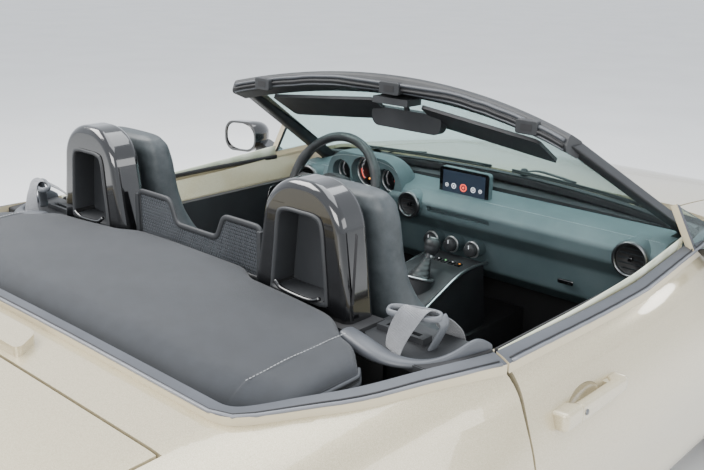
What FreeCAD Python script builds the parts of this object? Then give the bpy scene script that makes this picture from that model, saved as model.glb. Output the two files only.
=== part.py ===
"""A two-seat convertible car, roof folded, in millimetres.

Frame: +X forward, +Y to the driver's (left) side, +Z up. The origin is on the ground under the middle of the car.
The outer surface is one loft of rounded sections. Each painted panel is cut from it and hollowed by a second loft
inset by the panel thickness. Everything else is placed from the axles, the belt line and the door opening.
"""
import FreeCAD
import Part
import Sketcher

import math
import os
from collections import namedtuple

from FreeCAD import Vector

# name: value. All lengths are millimetres and all angles are degrees.
SIZES = {
    "wheelbase": 2310,
    "nose_overhang": 775,
    "tail_overhang": 830,
    "body_half_width": 867,
    "belt_height": 850,
    "sill_height": 150,
    "panel_wall": 12,
    "shut_gap": 6,
    "seat_gap": 0.3,
    "front_track": 1495,
    "rear_track": 1505,
    "tyre_outer_radius": 308,
    "tyre_width": 205,
    "rim_outer_radius": 216,
    "rim_barrel_wall": 9,
    "rim_width": 190,
    "spoke_thickness": 22,
    "hub_radius": 62,
    "spindle_radius": 20,
    "disc_radius": 140,
    "disc_thickness": 22,
    "arch_radius": 345,
    "liner_wall": 6,
    "kingpin_inset": 34,
    "door_setback": 682,
    "door_length": 1057,
    "door_inner_half": 700,
    "door_bottom": 236,
    "door_hinge_setback": 50,
    "door_hinge_inset": 15,
    "hinge_pin_radius": 8,
    "card_thickness": 22,
    "hood_rear_setback": 530,
    "hood_thickness": 16,
    "hood_half_width": 560,
    "hood_hinge_half": 430,
    "lid_front_setback": 73,
    "lid_half_width": 600,
    "lid_hinge_half": 440,
    "gooseneck_radius": 104,
    "well_rear_setback": 56,
    "moulding_width": 30,
    "moulding_height": 14,
    "floor_thickness": 22,
    "tunnel_half_width": 105,
    "boot_half_width": 500,
    "boot_wall_height": 385,
    "tunnel_height": 420,
    "firewall_setback": 560,
    "screen_base_setback": 535,
    "screen_base_half": 690,
    "screen_base_z": 838,
    "screen_base_sweep": 85,
    "screen_base_crown": 22,
    "header_setback": 1175,
    "header_half": 560,
    "header_corner_z": 1122,
    "header_crown": 68,
    "header_sweep": 66,
    "glass_thickness": 5,
    "pillar_width": 46,
    "seat_offset": 365,
    "seat_width": 500,
    "hoop_setback": 1824,
    "hoop_top": 1126,
    "hoop_base": 868,
    "hoop_depth": 80,
    "hoop_rounding": 18,
    "steering_wheel_radius": 174,
    "steering_rim_radius": 16,
    "steering_wheel_x": 185,
    "steering_wheel_z": 812,
    "steering_tilt": 22,
    "dash_half_width": 664,
    "dash_face_x": 320,
    "console_half_width": 92,
    "engine_length": 520,
    "engine_width": 440,
    "engine_height": 430,
    "shaft_radius": 30,
    "silencer_radius": 105,
    "silencer_length": 620,
    "exhaust_tip_radius": 30,
    "boot_floor_rise": 235,
    "exhaust_pipe_radius": 28,
    "spring_radius": 46,
    "damper_rise": 338,
    "plate_hole_radius": 3,
    "plate_hole_spacing": 240,
    "tow_socket_radius": 8,
    "tow_socket_length": 40,
    "tow_socket_offset": -340,
}

doc = FreeCAD.newDocument("convertible")
sizes = doc.addObject("Spreadsheet::Sheet", "sizes")
for row, (alias, value) in enumerate(SIZES.items(), start=1):
    sizes.set(f"A{row}", alias)
    sizes.set(f"B{row}", str(value))
    sizes.setAlias(f"B{row}", alias)
doc.recompute()


def size(alias):
    return float(getattr(sizes, alias))


NODES = []


def keep(label, shape):
    """Adds a finished shape to the document as one sub-part."""
    obj = doc.addObject("Part::Feature", label)
    obj.Shape = shape
    obj.Label = label
    NODES.append(obj)
    return obj


def keep_object(label, obj):
    obj.Label = label
    NODES.append(obj)
    return obj


# Places that several pieces share
HALF = size("body_half_width")
BELT = size("belt_height")
LOW = size("sill_height")
WALL = size("panel_wall")
GAP = size("shut_gap")
SEAT = size("seat_gap")
LENGTH = size("nose_overhang") + size("wheelbase") + size("tail_overhang")
FRONT_AXLE = LENGTH / 2 - size("nose_overhang")
REAR_AXLE = FRONT_AXLE - size("wheelbase")
NOSE = LENGTH / 2
TAIL = -LENGTH / 2
AXLE_Z = size("tyre_outer_radius")
DOOR_FRONT = FRONT_AXLE - size("door_setback")
DOOR_REAR = DOOR_FRONT - size("door_length")
DOOR_INNER = size("door_inner_half")
ARCH = size("arch_radius")
HIGH = 2000
WIDE = 2000


# Shape helpers
def rounded_wire(points, shares):
    """A closed wire through a polygon, each corner an arc tangent to both sides.

    A share below 1 is the part of the shorter side that the arc takes, and otherwise it is a length."""
    arcs = []
    for i, corner in enumerate(points):
        back = points[i - 1] - corner
        ahead = points[(i + 1) % len(points)] - corner
        reach = shares[i] if shares[i] >= 1 else shares[i] * min(back.Length, ahead.Length)
        reach = min(reach, 0.49 * min(back.Length, ahead.Length))
        back.normalize()
        ahead.normalize()
        half = back.getAngle(ahead) / 2
        middle = (back + ahead).normalize()
        radius = reach * math.tan(half)
        centre = corner + middle * (reach / math.cos(half))
        arcs.append((corner + back * reach, centre - middle * radius, corner + ahead * reach))
    edges = []
    for i, (start, mid, end) in enumerate(arcs):
        edges.append(Part.Arc(start, mid, end).toShape())
        edges.append(Part.LineSegment(end, arcs[(i + 1) % len(arcs)][0]).toShape())
    return Part.Wire(edges)


def polygon(points):
    return Part.Wire(Part.makePolygon(points + [points[0]]).Edges)


def prism(points, direction, rounding=0):
    """A polygon of vectors, its corners rounded by a length, pushed along a vector."""
    wire = rounded_wire(points, [rounding] * len(points)) if rounding else polygon(points)
    return Part.Face(wire).extrude(direction)


def plan(points, low=-100, high=HIGH, rounding=0):
    """A vertical prism on an outline of (x, y)."""
    return prism([Vector(x, y, low) for x, y in points], Vector(0, 0, high - low), rounding)


def side(points, right, left, rounding=0):
    """A crosswise prism on an outline of (x, z), from y = right to y = left."""
    return prism([Vector(x, right, z) for x, z in points], Vector(0, left - right, 0), rounding)


def front(points, back, ahead, rounding=0):
    """A lengthwise prism on an outline of (y, z), from x = back to x = ahead."""
    return prism([Vector(back, y, z) for y, z in points], Vector(ahead - back, 0, 0), rounding)


def box(x0, x1, y0, y1, z0, z1):
    return Part.makeBox(x1 - x0, y1 - y0, z1 - z0, Vector(x0, y0, z0))


def rod(start, end, radius):
    """A round bar between two points."""
    run = end - start
    return Part.makeCylinder(radius, run.Length, start, run)


def mirrored(shape):
    return shape.mirror(Vector(0, 0, 0), Vector(0, 1, 0))


def pair(shape):
    """The same solid on both sides of the car, as two separate solids."""
    return Part.makeCompound([shape, mirrored(shape)])


def fuse(shapes):
    return shapes[0].multiFuse(shapes[1:]).removeSplitter() if len(shapes) > 1 else shapes[0]


def loft(wires, ruled=False):
    return Part.makeLoft(wires, True, ruled)


def bent_pipe(points, radius, bend):
    """A round pipe on straight runs joined by tangent arcs."""
    edges = []
    start = points[0]
    for i in range(1, len(points) - 1):
        corner = points[i]
        back = (points[i - 1] - corner).normalize()
        ahead = (points[i + 1] - corner).normalize()
        half = back.getAngle(ahead) / 2
        reach = bend / math.tan(half)
        middle = (back + ahead).normalize()
        mid = corner + middle * (bend / math.sin(half) - bend)
        edges.append(Part.LineSegment(start, corner + back * reach).toShape())
        edges.append(Part.Arc(corner + back * reach, mid, corner + ahead * reach).toShape())
        start = corner + ahead * reach
    edges.append(Part.LineSegment(start, points[-1]).toShape())
    path = Part.Wire(edges)
    circle = Part.Circle(points[0], points[1] - points[0], radius).toShape()
    return path.makePipeShell([Part.Wire([circle])], True, True)


# The outer surface
# span and share give a station's place: the share of the nose overhang ahead of the front axle, of the wheelbase
# behind it, or of the tail overhang behind the rear axle. *_in is the inset of a corner from the half width, below
# zero where the rounding brings the surface back inside it. low_up is the height over the sill, wide_z the height of
# the widest corner, and crest_drop and top_drop are the drops below the belt height.
Station = namedtuple("Station", "span share low_in low_up wide_in wide_z crest_in crest_drop top_drop")
STATIONS = [
    Station("nose", 1.000, 567, 105, 470, 400, 567, 350, 338),
    Station("nose", 0.958, 437, 55, 333, 410, 437, 297, 288),
    Station("nose", 0.874, 307, 25, 202, 430, 317, 242, 238),
    Station("nose", 0.720, 187, 5, 92, 460, 232, 182, 186),
    Station("nose", 0.410, 97, 0, 13, 520, 182, 106, 110),
    Station("cabin", 0.000, 67, 0, -16, 575, 162, 52, 50),
    Station("cabin", 0.166, 67, 0, 0, 600, 134, 10, -4),
    Station("cabin", 0.317, 75, 0, 10, 610, 105, -8, -24),
    Station("cabin", 0.512, 77, 0, 12, 610, 79, 18, -20),
    Station("cabin", 0.620, 77, 0, 10, 610, 79, 18, -20),
    Station("cabin", 0.728, 72, 0, 2, 610, 82, 8, -20),
    Station("cabin", 0.880, 62, 5, -15, 610, 128, -10, -24),
    Station("cabin", 1.000, 57, 15, -17, 600, 178, -12, -22),
    Station("tail", 0.389, 87, 40, 15, 600, 248, 2, -10),
    Station("tail", 0.690, 167, 65, 80, 600, 322, 30, 5),
    Station("tail", 0.847, 257, 80, 152, 580, 367, 84, 60),
    Station("tail", 0.943, 347, 100, 244, 520, 420, 182, 168),
    Station("tail", 1.000, 487, 135, 377, 470, 480, 278, 265),
]
CORNER_SHARES = [0.45, 0.45, 0.45, 0.3, 0.49, 0.3, 0.45]


def station_x(station):
    if station.span == "nose":
        return FRONT_AXLE + station.share * size("nose_overhang")
    if station.span == "tail":
        return REAR_AXLE - station.share * size("tail_overhang")
    return FRONT_AXLE - station.share * size("wheelbase")


def inset_outline(points, inset):
    """The (y, z) outline moved inwards by a distance, corner by corner."""
    moved = []
    for i, (y, z) in enumerate(points):
        ya, za = points[i - 1]
        yb, zb = points[(i + 1) % len(points)]
        run_a, run_b = math.hypot(y - ya, z - za), math.hypot(yb - y, zb - z)
        na = (-(z - za) / run_a, (y - ya) / run_a)
        nb = (-(zb - z) / run_b, (yb - y) / run_b)
        scale = inset / (1 + na[0] * nb[0] + na[1] * nb[1])
        moved.append((y + scale * (na[0] + nb[0]), z + scale * (na[1] + nb[1])))
    return moved


def body_loft(inset=0.0):
    """The outer surface as a solid, moved inwards by inset, or outwards where it is negative."""
    wires = []
    for i, s in enumerate(STATIONS):
        low, wide, crest = HALF - s.low_in, HALF - s.wide_in, HALF - s.crest_in
        low_z, crest_z, top_z = LOW + s.low_up, BELT - s.crest_drop, BELT - s.top_drop
        outline = [(-low, low_z), (low, low_z), (wide, s.wide_z), (crest, crest_z)]
        outline += [(0, top_z), (-crest, crest_z), (-wide, s.wide_z)]
        x = station_x(s)
        x += {0: -inset, len(STATIONS) - 1: inset}.get(i, 0)
        points = [Vector(x, y, z) for y, z in inset_outline(outline, inset)]
        wires.append(rounded_wire(points, CORNER_SHARES))
    return loft(wires)


OUTER = body_loft()
INNER = body_loft(WALL)
BACKING = body_loft(WALL + SEAT)
RAISED = body_loft(-size("moulding_height"))


def surface_z(x, y, shape=None):
    """The height of the outer surface over a point of the plan."""
    line = Part.makeLine(Vector(x, y, LOW + 150), Vector(x, y, HIGH))
    return (shape or OUTER).common(line).BoundBox.ZMax


def surface_y(x, z):
    """The half width of the outer surface at a place along the car and a height."""
    line = Part.makeLine(Vector(x, 0, z), Vector(x, WIDE, z))
    return OUTER.common(line).BoundBox.YMax


def arch_cylinder(axle_x, radius, inner_half, outer_half=WIDE):
    return Part.makeCylinder(radius, outer_half - inner_half, Vector(axle_x, inner_half, AXLE_Z), Vector(0, 1, 0))


ARCHES = [arch_cylinder(FRONT_AXLE, ARCH, 300), arch_cylinder(REAR_AXLE, ARCH, 300)]


# Where the panels meet, as outlines of the left half in plan (x, y) or from the side (x, z)
HOOD_REAR = FRONT_AXLE - size("hood_rear_setback")
HOOD_HALF = size("hood_half_width")
LID_FRONT = REAR_AXLE - size("lid_front_setback")
LID_HALF = size("lid_half_width")


def both_sides(half):
    """A plan outline of the whole width from its left half, listed from front to rear."""
    return half + [(x, -y) for x, y in reversed(half)]


def hood_outline(grow=0.0):
    half = [(NOSE - 150 + grow, 200), (NOSE - 205 + grow, 360 + grow), (NOSE - 370, 462 + grow)]
    half += [(FRONT_AXLE, HOOD_HALF - 4 + grow), (HOOD_REAR - grow, HOOD_HALF + grow)]
    return both_sides(half)


def hood_region(grow=0.0, low=LOW + 250):
    return plan(hood_outline(grow), low, HIGH)


def lid_region(grow=0.0):
    half = [(LID_FRONT + grow, LID_HALF + grow), (LID_FRONT - 250, LID_HALF - 8 + grow)]
    half += [(TAIL + 257, LID_HALF - 80 + grow), (TAIL + 150, 445 + grow), (TAIL - 100, 445 + grow)]
    return plan(both_sides(half), 640 - grow, HIGH)


def lamp_region(grow=0.0):
    """Headlamp: its outline from the side, outboard of its inner edge."""
    outline = [(NOSE - 107 + grow, 578 - grow), (NOSE - 107 + grow, 800), (NOSE - 362 - grow, 800)]
    outline += [(NOSE - 362 - grow, 668 - grow), (NOSE - 245, 602 - grow)]
    return side(outline, 480 - grow, WIDE)


def tail_lamp_region(grow=0.0):
    outline = [(TAIL + 230 + grow, 640 - grow), (TAIL - 100, 640 - grow), (TAIL - 100, 752 + grow)]
    outline += [(TAIL + 170 + grow, 752 + grow)]
    return side(outline, 452 - grow, WIDE)


def front_bumper_region(grow=0.0):
    outline = [(FRONT_AXLE, -100), (FRONT_AXLE, 452 + grow), (NOSE - 430 - grow, 452 + grow)]
    outline += [(NOSE - 330 - grow, 600), (NOSE - 330 - grow, HIGH), (NOSE + 100, HIGH), (NOSE + 100, -100)]
    return side(outline, -WIDE, WIDE)


def rear_bumper_region(grow=0.0):
    outline = [(REAR_AXLE, -100), (REAR_AXLE, 470 + grow), (TAIL + 330 + grow, 470 + grow)]
    outline += [(TAIL + 230 + grow, 636 + grow), (TAIL - 100, 636 + grow), (TAIL - 100, -100)]
    return side(outline, -WIDE, WIDE)


# The trim line round the rear of the cabin, and the band of the belt moulding along it
BELT_LINE = [(DOOR_REAR, 774), (REAR_AXLE + 384, 738), (REAR_AXLE + 230, 701), (REAR_AXLE + 146, 667)]
BELT_LINE += [(REAR_AXLE + 70, 632), (REAR_AXLE + 38, 575)]


def belt_outline(inset=0.0):
    """The plan outline inside the belt line, open towards the front."""
    ahead = [(DOOR_REAR + 300, 774)]
    return inset_outline(both_sides(ahead + BELT_LINE), inset)


def upper_belt_region(inset=0.0):
    """The space above the cabin inside the belt line, whose two sides are smooth curves."""
    outline = belt_outline(inset)
    half = [Vector(x, y, LOW + 350) for x, y in outline[:len(outline) // 2]]
    curve = Part.BSplineCurve()
    curve.interpolate(Points=half, InitialTangent=Vector(-1, 0, 0), FinalTangent=Vector(0, -1, 0))
    left = curve.toShape()
    ends = [Part.LineSegment(point, Vector(point.x, -point.y, point.z)).toShape() for point in (half[0], half[-1])]
    wire = Part.Wire(Part.sortEdges([left, mirrored(left)] + ends)[0])
    return Part.Face(wire).extrude(Vector(0, 0, HIGH - LOW - 350))


def door_outline(grow=0.0, inner=DOOR_INNER):
    """A door from above: its rear end leans forward inboard, so that it swings clear of the body behind it."""
    outline = [(DOOR_FRONT + grow, inner - grow), (DOOR_FRONT + grow, WIDE), (DOOR_REAR - grow, WIDE)]
    return outline + [(DOOR_REAR - grow, HALF - 40), (DOOR_REAR + 24 - grow, inner - grow)]


def door_region(grow=0.0, low=size("door_bottom")):
    return plan(door_outline(grow), low - grow, HIGH)


SILL_TOP = size("door_bottom") - GAP
DECK_HALF = 685

SKIN = OUTER.cut(INNER)


def panel(region, cutters):
    """A part of the skin: the skin over a region, less the cutters."""
    return SKIN.common(region.cut(cutters))


# Painted panels
FENDER_PLAN = [(DOOR_FRONT + GAP, WIDE), (DOOR_FRONT + GAP, 722), (DOOR_FRONT + 70, 716)]
FENDER_PLAN += [(HOOD_REAR - 32, HOOD_HALF + 22), (HOOD_REAR + 30, HOOD_HALF - 10), (HOOD_REAR + 30, 300)]
FENDER_PLAN += [(NOSE, 300), (NOSE, WIDE)]
under_fender = box(DOOR_FRONT - 100, FRONT_AXLE, 0, WIDE, -200, SILL_TOP)
fender_cutters = [hood_region(GAP), front_bumper_region(GAP), ARCHES[0], lamp_region(SEAT), under_fender]
keep("front_fenders", pair(panel(plan(FENDER_PLAN), fender_cutters)))

sill_box = box(REAR_AXLE + 300, FRONT_AXLE - 300, DOOR_INNER - 10, WIDE, -100, SILL_TOP)
WHEELHOUSES = [arch_cylinder(axle, ARCH + 6 + size("liner_wall") + SEAT, 300) for axle in (FRONT_AXLE, REAR_AXLE)]
keep("sills", pair(OUTER.common(sill_box.cut(WHEELHOUSES))))

QUARTER = [(DOOR_REAR - GAP, WIDE), (DOOR_REAR - GAP, 300), (TAIL - 50, 300), (TAIL - 50, WIDE)]
deck_half = [(REAR_AXLE + 228, DECK_HALF), (REAR_AXLE, DECK_HALF - 7), (REAR_AXLE - 320, 650), (TAIL + 225, 600)]
DECK_REGION = plan(both_sides(deck_half), 640, HIGH)
under_quarter = box(REAR_AXLE + 250, DOOR_FRONT, 0, WIDE, -200, SILL_TOP)
quarter_cutters = [upper_belt_region(30), DECK_REGION, ARCHES[1], rear_bumper_region(GAP)]
quarter_cutters += [tail_lamp_region(SEAT), lid_region(GAP), under_quarter]
keep("rear_quarters", pair(panel(plan(QUARTER), quarter_cutters)))

tail_lamp_space = tail_lamp_region(SEAT)
deck_cutters = [upper_belt_region(30), lid_region(GAP), tail_lamp_space, mirrored(tail_lamp_space)]
keep("rear_deck", panel(DECK_REGION, deck_cutters))

MOUTH_LOW, MOUTH_HIGH, MOUTH_HALF = 196, 425, 430
mouth_outline = [(-MOUTH_HALF, MOUTH_LOW + 40), (-MOUTH_HALF + 60, MOUTH_LOW), (MOUTH_HALF - 60, MOUTH_LOW)]
mouth_outline += [(MOUTH_HALF, MOUTH_LOW + 40), (MOUTH_HALF - 90, MOUTH_HIGH), (-MOUTH_HALF + 90, MOUTH_HIGH)]
mouth = front(mouth_outline, NOSE - 150, NOSE + 100, 25)
lamp_space = lamp_region(SEAT)
bumper_cutters = [hood_region(GAP), ARCHES[0], mirrored(ARCHES[0]), lamp_space, mirrored(lamp_space), mouth]
keep("front_bumper", panel(front_bumper_region(), bumper_cutters))

plate_recess = front([(-270, 400), (270, 400), (255, 530), (-255, 530)], TAIL - 10, TAIL + 8, 12)
BOOT_FLOOR = LOW + size("boot_floor_rise")
SILENCER_X, SILENCER_Z = TAIL + 305, BOOT_FLOOR - size("silencer_radius") - 8
TIPS, TIP_RADIUS = (-215, -285), size("exhaust_tip_radius")
open_underside = box(SILENCER_X - 225, REAR_AXLE + 10, -560, 560, 0, SILENCER_Z - 10)
bumper_cutters = [ARCHES[1], mirrored(ARCHES[1]), plate_recess, open_underside]
tip_space = [(min(TIPS) - TIP_RADIUS - 10, SILENCER_Z + TIP_RADIUS + 10), (min(TIPS) - TIP_RADIUS - 10, 0)]
tip_space += [(max(TIPS) + TIP_RADIUS + 10, 0), (max(TIPS) + TIP_RADIUS + 10, SILENCER_Z + TIP_RADIUS + 10)]
bumper_cutters.append(front(tip_space, TAIL - 20, SILENCER_X - 120, TIP_RADIUS))
PLATE_HOLE, PLATE_SPACING, PLATE_Z = size("plate_hole_radius"), size("plate_hole_spacing"), 465
for sign in (-1, 1):
    hole_y = sign * PLATE_SPACING / 2
    bumper_cutters.append(rod(Vector(TAIL - 20, hole_y, PLATE_Z), Vector(TAIL + 40, hole_y, PLATE_Z), PLATE_HOLE))
TOW_RADIUS, TOW_LENGTH = size("tow_socket_radius"), size("tow_socket_length")
tow_mouth = Vector(TAIL - 2, size("tow_socket_offset"), 380)
tow_end = tow_mouth + Vector(2 + TOW_LENGTH, 0, 0)
bumper_cutters.append(rod(tow_mouth, tow_end + Vector(20, 0, 0), TOW_RADIUS + 6))
tow_socket = rod(tow_mouth + Vector(2, 0, 0), tow_end, TOW_RADIUS + 8).cut(rod(tow_mouth, tow_end, TOW_RADIUS))
rear_skin = panel(rear_bumper_region(), bumper_cutters)
keep("rear_bumper", rear_skin.fuse(tow_socket))

# Lamps: each a closed unit behind a skin of its own
deep = body_loft(45)
lamp_skin = OUTER.cut(deep)
keep("headlamps", pair(lamp_skin.common(lamp_region())))
keep("tail_lamps", pair(lamp_skin.common(tail_lamp_region().cut(lid_region(GAP)))))

# Hood: the skin with a deeper wall, and two lugs that turn on pins under its rear corners
HOOD_HINGE_X = HOOD_REAR - 12
HOOD_HINGE_HALF = size("hood_hinge_half")
HOOD_HINGE_Z = surface_z(HOOD_REAR, HOOD_HINGE_HALF) - 32
hinge_point = Vector(HOOD_HINGE_X, HOOD_HINGE_HALF, HOOD_HINGE_Z)
PIN = size("hinge_pin_radius")
hood = OUTER.common(hood_region()).cut(body_loft(size("hood_thickness")))
lug_outline = [(HOOD_HINGE_X - 14, HOOD_HINGE_Z - 14), (HOOD_HINGE_X + 16, HOOD_HINGE_Z - 14)]
lug_outline += [(HOOD_HINGE_X + 90, HOOD_HINGE_Z + 18), (HOOD_HINGE_X + 2, HOOD_HINGE_Z + 18)]
lug = side(lug_outline, HOOD_HINGE_HALF - 8, HOOD_HINGE_HALF + 8, 8)
lug = lug.cut(rod(hinge_point - Vector(0, 20, 0), hinge_point + Vector(0, 20, 0), PIN - 2 + 0.05))
keep("hood", fuse([hood, lug, mirrored(lug)]))

# Boot lid: its goosenecks curve down from its front edge round the edge of the deck to pivots ahead of it
LID_HINGE_HALF = size("lid_hinge_half")
LID_PIVOT = Vector(LID_FRONT + 96, LID_HINGE_HALF, surface_z(LID_FRONT, LID_HINGE_HALF) - 34)
neck_radius = size("gooseneck_radius")
neck_outer = rod(LID_PIVOT - Vector(0, 8, 0), LID_PIVOT + Vector(0, 8, 0), neck_radius + 22)
neck_inner = rod(LID_PIVOT - Vector(0, 9, 0), LID_PIVOT + Vector(0, 9, 0), neck_radius)
px, pz = LID_PIVOT.x, LID_PIVOT.z
sector = side([(px, pz), (px - 200, pz + 20), (px - 200, pz - 200), (px - 76, pz - 200)], 0, 600)
neck = neck_outer.cut(neck_inner).common(sector)
foot = side([(px + 12, pz - 8), (px - 12, pz + 8), (px - 62, pz - 100), (px - 34, pz - 112)],
            LID_HINGE_HALF - 8, LID_HINGE_HALF + 8)
eye = rod(LID_PIVOT - Vector(0, 8, 0), LID_PIVOT + Vector(0, 8, 0), 16)
bore = rod(LID_PIVOT - Vector(0, 20, 0), LID_PIVOT + Vector(0, 20, 0), PIN - 2 + 0.05)
bracket = box(px - 190, px - neck_radius - 4, LID_HINGE_HALF - 8, LID_HINGE_HALF + 8, pz - 6, pz + 24)
neck = fuse([neck, foot, eye, bracket]).cut(bore)
lid = OUTER.common(lid_region()).cut(body_loft(22))
keep("boot_lid", fuse([lid, neck, mirrored(neck)]))

# Belt moulding: a rail standing on the surface along the belt line, split at the door's shut line
RAIL = RAISED.cut(OUTER)
behind_door = box(TAIL, DOOR_REAR - GAP, -WIDE, WIDE, 0, HIGH)
band = upper_belt_region().cut(upper_belt_region(size("moulding_width"))).common(behind_door)
keep("deck_moulding", RAIL.common(band))

# Cowl: the dark panel between the glass, the fenders and the rear edge of the hood
cowl_half = [(HOOD_REAR + 60, HOOD_HALF - 4), (HOOD_REAR - 32, HOOD_HALF + 16), (HOOD_REAR - 62, 689.7)]
cowl_half += [(DOOR_FRONT + GAP, 689.7)]
cowl_region = plan(both_sides(cowl_half), LOW + 350, HIGH)
cowl = body_loft(30).common(cowl_region).cut(body_loft(42))
HINGE_SPACE = box(HOOD_HINGE_X - 30, HOOD_REAR + 100, HOOD_HINGE_HALF - 24, HOOD_HINGE_HALF + 24, 0, HIGH)
cowl = cowl.cut([HINGE_SPACE, mirrored(HINGE_SPACE)])


# Windscreen: arcs across the car at its base and its header, glass between them and a frame round it
def screen_arc(half, corner_x, corner_z, sweep, crown, push=0.0):
    """Three points of an arc across the car, pushed forwards in its own plane."""
    run = Vector(sweep, 0, crown).normalize() * push
    return [Vector(corner_x, -half, corner_z) + run, Vector(corner_x + sweep, 0, corner_z + crown) + run,
            Vector(corner_x, half, corner_z) + run]


def arc_band(front_arc, rear_arc):
    edges = [Part.Arc(*front_arc).toShape(), Part.makeLine(front_arc[2], rear_arc[2])]
    edges += [Part.Arc(*reversed(rear_arc)).toShape(), Part.makeLine(rear_arc[0], front_arc[0])]
    return Part.Wire(edges)


SCREEN_X = FRONT_AXLE - size("screen_base_setback") - 140
SCREEN_Z = size("screen_base_z")
HEADER_X = FRONT_AXLE - size("header_setback")
HEADER_Z = size("header_corner_z")
HEADER_HALF = size("header_half")
BASE_HALF = size("screen_base_half")
BASE_SWEEP, BASE_CROWN = size("screen_base_sweep"), size("screen_base_crown")


def screen_solid(grow, thickness):
    """The glass between its base arc and its header arc."""
    base = (BASE_HALF - 22 + grow, SCREEN_X, SCREEN_Z, BASE_SWEEP, BASE_CROWN)
    top = (HEADER_HALF - 16 + grow, HEADER_X, HEADER_Z, size("header_sweep"), size("header_crown"))
    base_arcs = [screen_arc(*base, push) for push in (thickness * 0.8 + grow, -thickness * 0.8 - grow)]
    top_arcs = [screen_arc(*top, push) for push in (thickness * 0.52 + grow, -thickness * 0.52 - grow)]
    return loft([arc_band(*base_arcs), arc_band(*top_arcs)], True)


glass = screen_solid(0, size("glass_thickness"))
slot = screen_solid(SEAT, size("glass_thickness"))
keep("windscreen_glass", glass)


def rail_section(at, depth, height, lean):
    """A rounded box section in the X-Z plane, for a rail that runs across the car."""
    across, up = Vector(math.cos(lean), 0, math.sin(lean)) * depth, Vector(-math.sin(lean), 0, math.cos(lean)) * height
    corners = [at - across - up, at + across - up, at + across + up, at - across + up]
    return rounded_wire(corners, [0.3] * 4)


def cross_rail(arc, depth, height, lean):
    curve = Part.Arc(*arc)
    first, last = curve.FirstParameter, curve.LastParameter
    places = [curve.value(first + (last - first) * i / 6) for i in range(7)]
    return loft([rail_section(place, depth, height, lean) for place in places])


lean = math.radians(24)
header_arc = screen_arc(HEADER_HALF + 8, HEADER_X - 14, HEADER_Z + 4, size("header_sweep"), size("header_crown"))
header = cross_rail(header_arc, 36, 21, -lean)
beam = cross_rail(screen_arc(BASE_HALF - 14, SCREEN_X + 2, SCREEN_Z - 4, BASE_SWEEP, BASE_CROWN), 20, 15, 0)
width = size("pillar_width") / 2


def pillar_wire(x, y, z):
    return rounded_wire([Vector(x - 34, y - width, z), Vector(x + 30, y - width, z),
                         Vector(x + 30, y + width - 8, z), Vector(x - 34, y + width, z)], [0.3] * 4)


pillar = loft([pillar_wire(SCREEN_X + 2, BASE_HALF - 12, SCREEN_Z - 16),
               pillar_wire(HEADER_X + 4, HEADER_HALF - 8, HEADER_Z + 6)])
frame_above = fuse([header, beam, pillar, mirrored(pillar)]).cut(slot)
keep("windscreen_frame", frame_above)
cowl = cowl.cut([slot, frame_above])
cowl = max(cowl.Solids, key=lambda solid: solid.Volume)
keep("cowl", cowl)

# Doors: each as thick as the real one, with a hinge notch, an inner slope under the belt and a handle recess
HINGE_X = DOOR_FRONT - size("door_hinge_setback")
HINGE_Y = surface_y(HINGE_X, BELT - 240) - size("door_hinge_inset")
HINGES = [(BELT - 302, BELT - 267), (BELT - 213, BELT - 178)]


def hinge_place(z):
    return Vector(HINGE_X, HINGE_Y, z)


def hinge_outline(near, far):
    """A hinge arm from above: its half width, and how far it runs from the pin to the hinge post."""
    run, across = Vector(0.5, -0.866, 0), Vector(0.866, 0.5, 0)
    start = hinge_place(0)
    corners = [start - across * near - run * near, start - across * near + run * far]
    corners += [start + across * near + run * far, start + across * near - run * near]
    return [(corner.x, corner.y) for corner in corners]


notch_outline = [(HINGE_X - 20, HINGE_Y - 9), (HINGE_X + 56, HINGE_Y - 152), (HINGE_X + 90, HINGE_Y - 152)]
notch_outline += [(HINGE_X + 90, HINGE_Y + 12), (HINGE_X, HINGE_Y + 12), (HINGE_X - 18, HINGE_Y + 6)]
door_cutters = []
door_pins = []
hinge_arms = []
for low_z, high_z in HINGES:
    door_cutters.append(plan(notch_outline, low_z - GAP, high_z + GAP))
    door_pins.append(rod(hinge_place(low_z - GAP - 4), hinge_place(high_z + GAP + 4), PIN - 3))
    arm = plan(hinge_outline(9, 112), low_z, high_z, 4)
    hinge_arms.append(arm.cut(rod(hinge_place(low_z - 5), hinge_place(high_z + 5), PIN - 3 + 0.05)))
slope = front([(722, 1000), (722, BELT - 8), (DOOR_INNER - 1, BELT - 78), (600, BELT - 78), (600, 1000)],
              DOOR_REAR - 50, DOOR_FRONT + 50)
HANDLE_X, HANDLE_Z = DOOR_REAR + 190, BELT - 136
bowl_half = surface_y(HANDLE_X, HANDLE_Z)
bowl = Part.makeSphere(1).transformGeometry(FreeCAD.Matrix(62, 0, 0, HANDLE_X + 12, 0, 26, 0, bowl_half + 2,
                                                         0, 0, 34, HANDLE_Z, 0, 0, 0, 1))
door = OUTER.common(door_region().cut(door_cutters + [slope])).cut([bowl])
grip = side([(HANDLE_X - 100, HANDLE_Z - 16), (HANDLE_X + 140, HANDLE_Z - 12), (HANDLE_X + 146, HANDLE_Z + 8),
             (HANDLE_X - 100, HANDLE_Z + 16)], bowl_half - 6, bowl_half + 26, 9)
grip = grip.cut(side([(HANDLE_X - 56, HANDLE_Z - 40), (HANDLE_X + 92, HANDLE_Z - 40), (HANDLE_X + 92, HANDLE_Z + 40),
                      (HANDLE_X - 56, HANDLE_Z + 40)], bowl_half - 60, bowl_half + 10, 8))
door = fuse([door] + door_pins + [grip])

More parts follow.
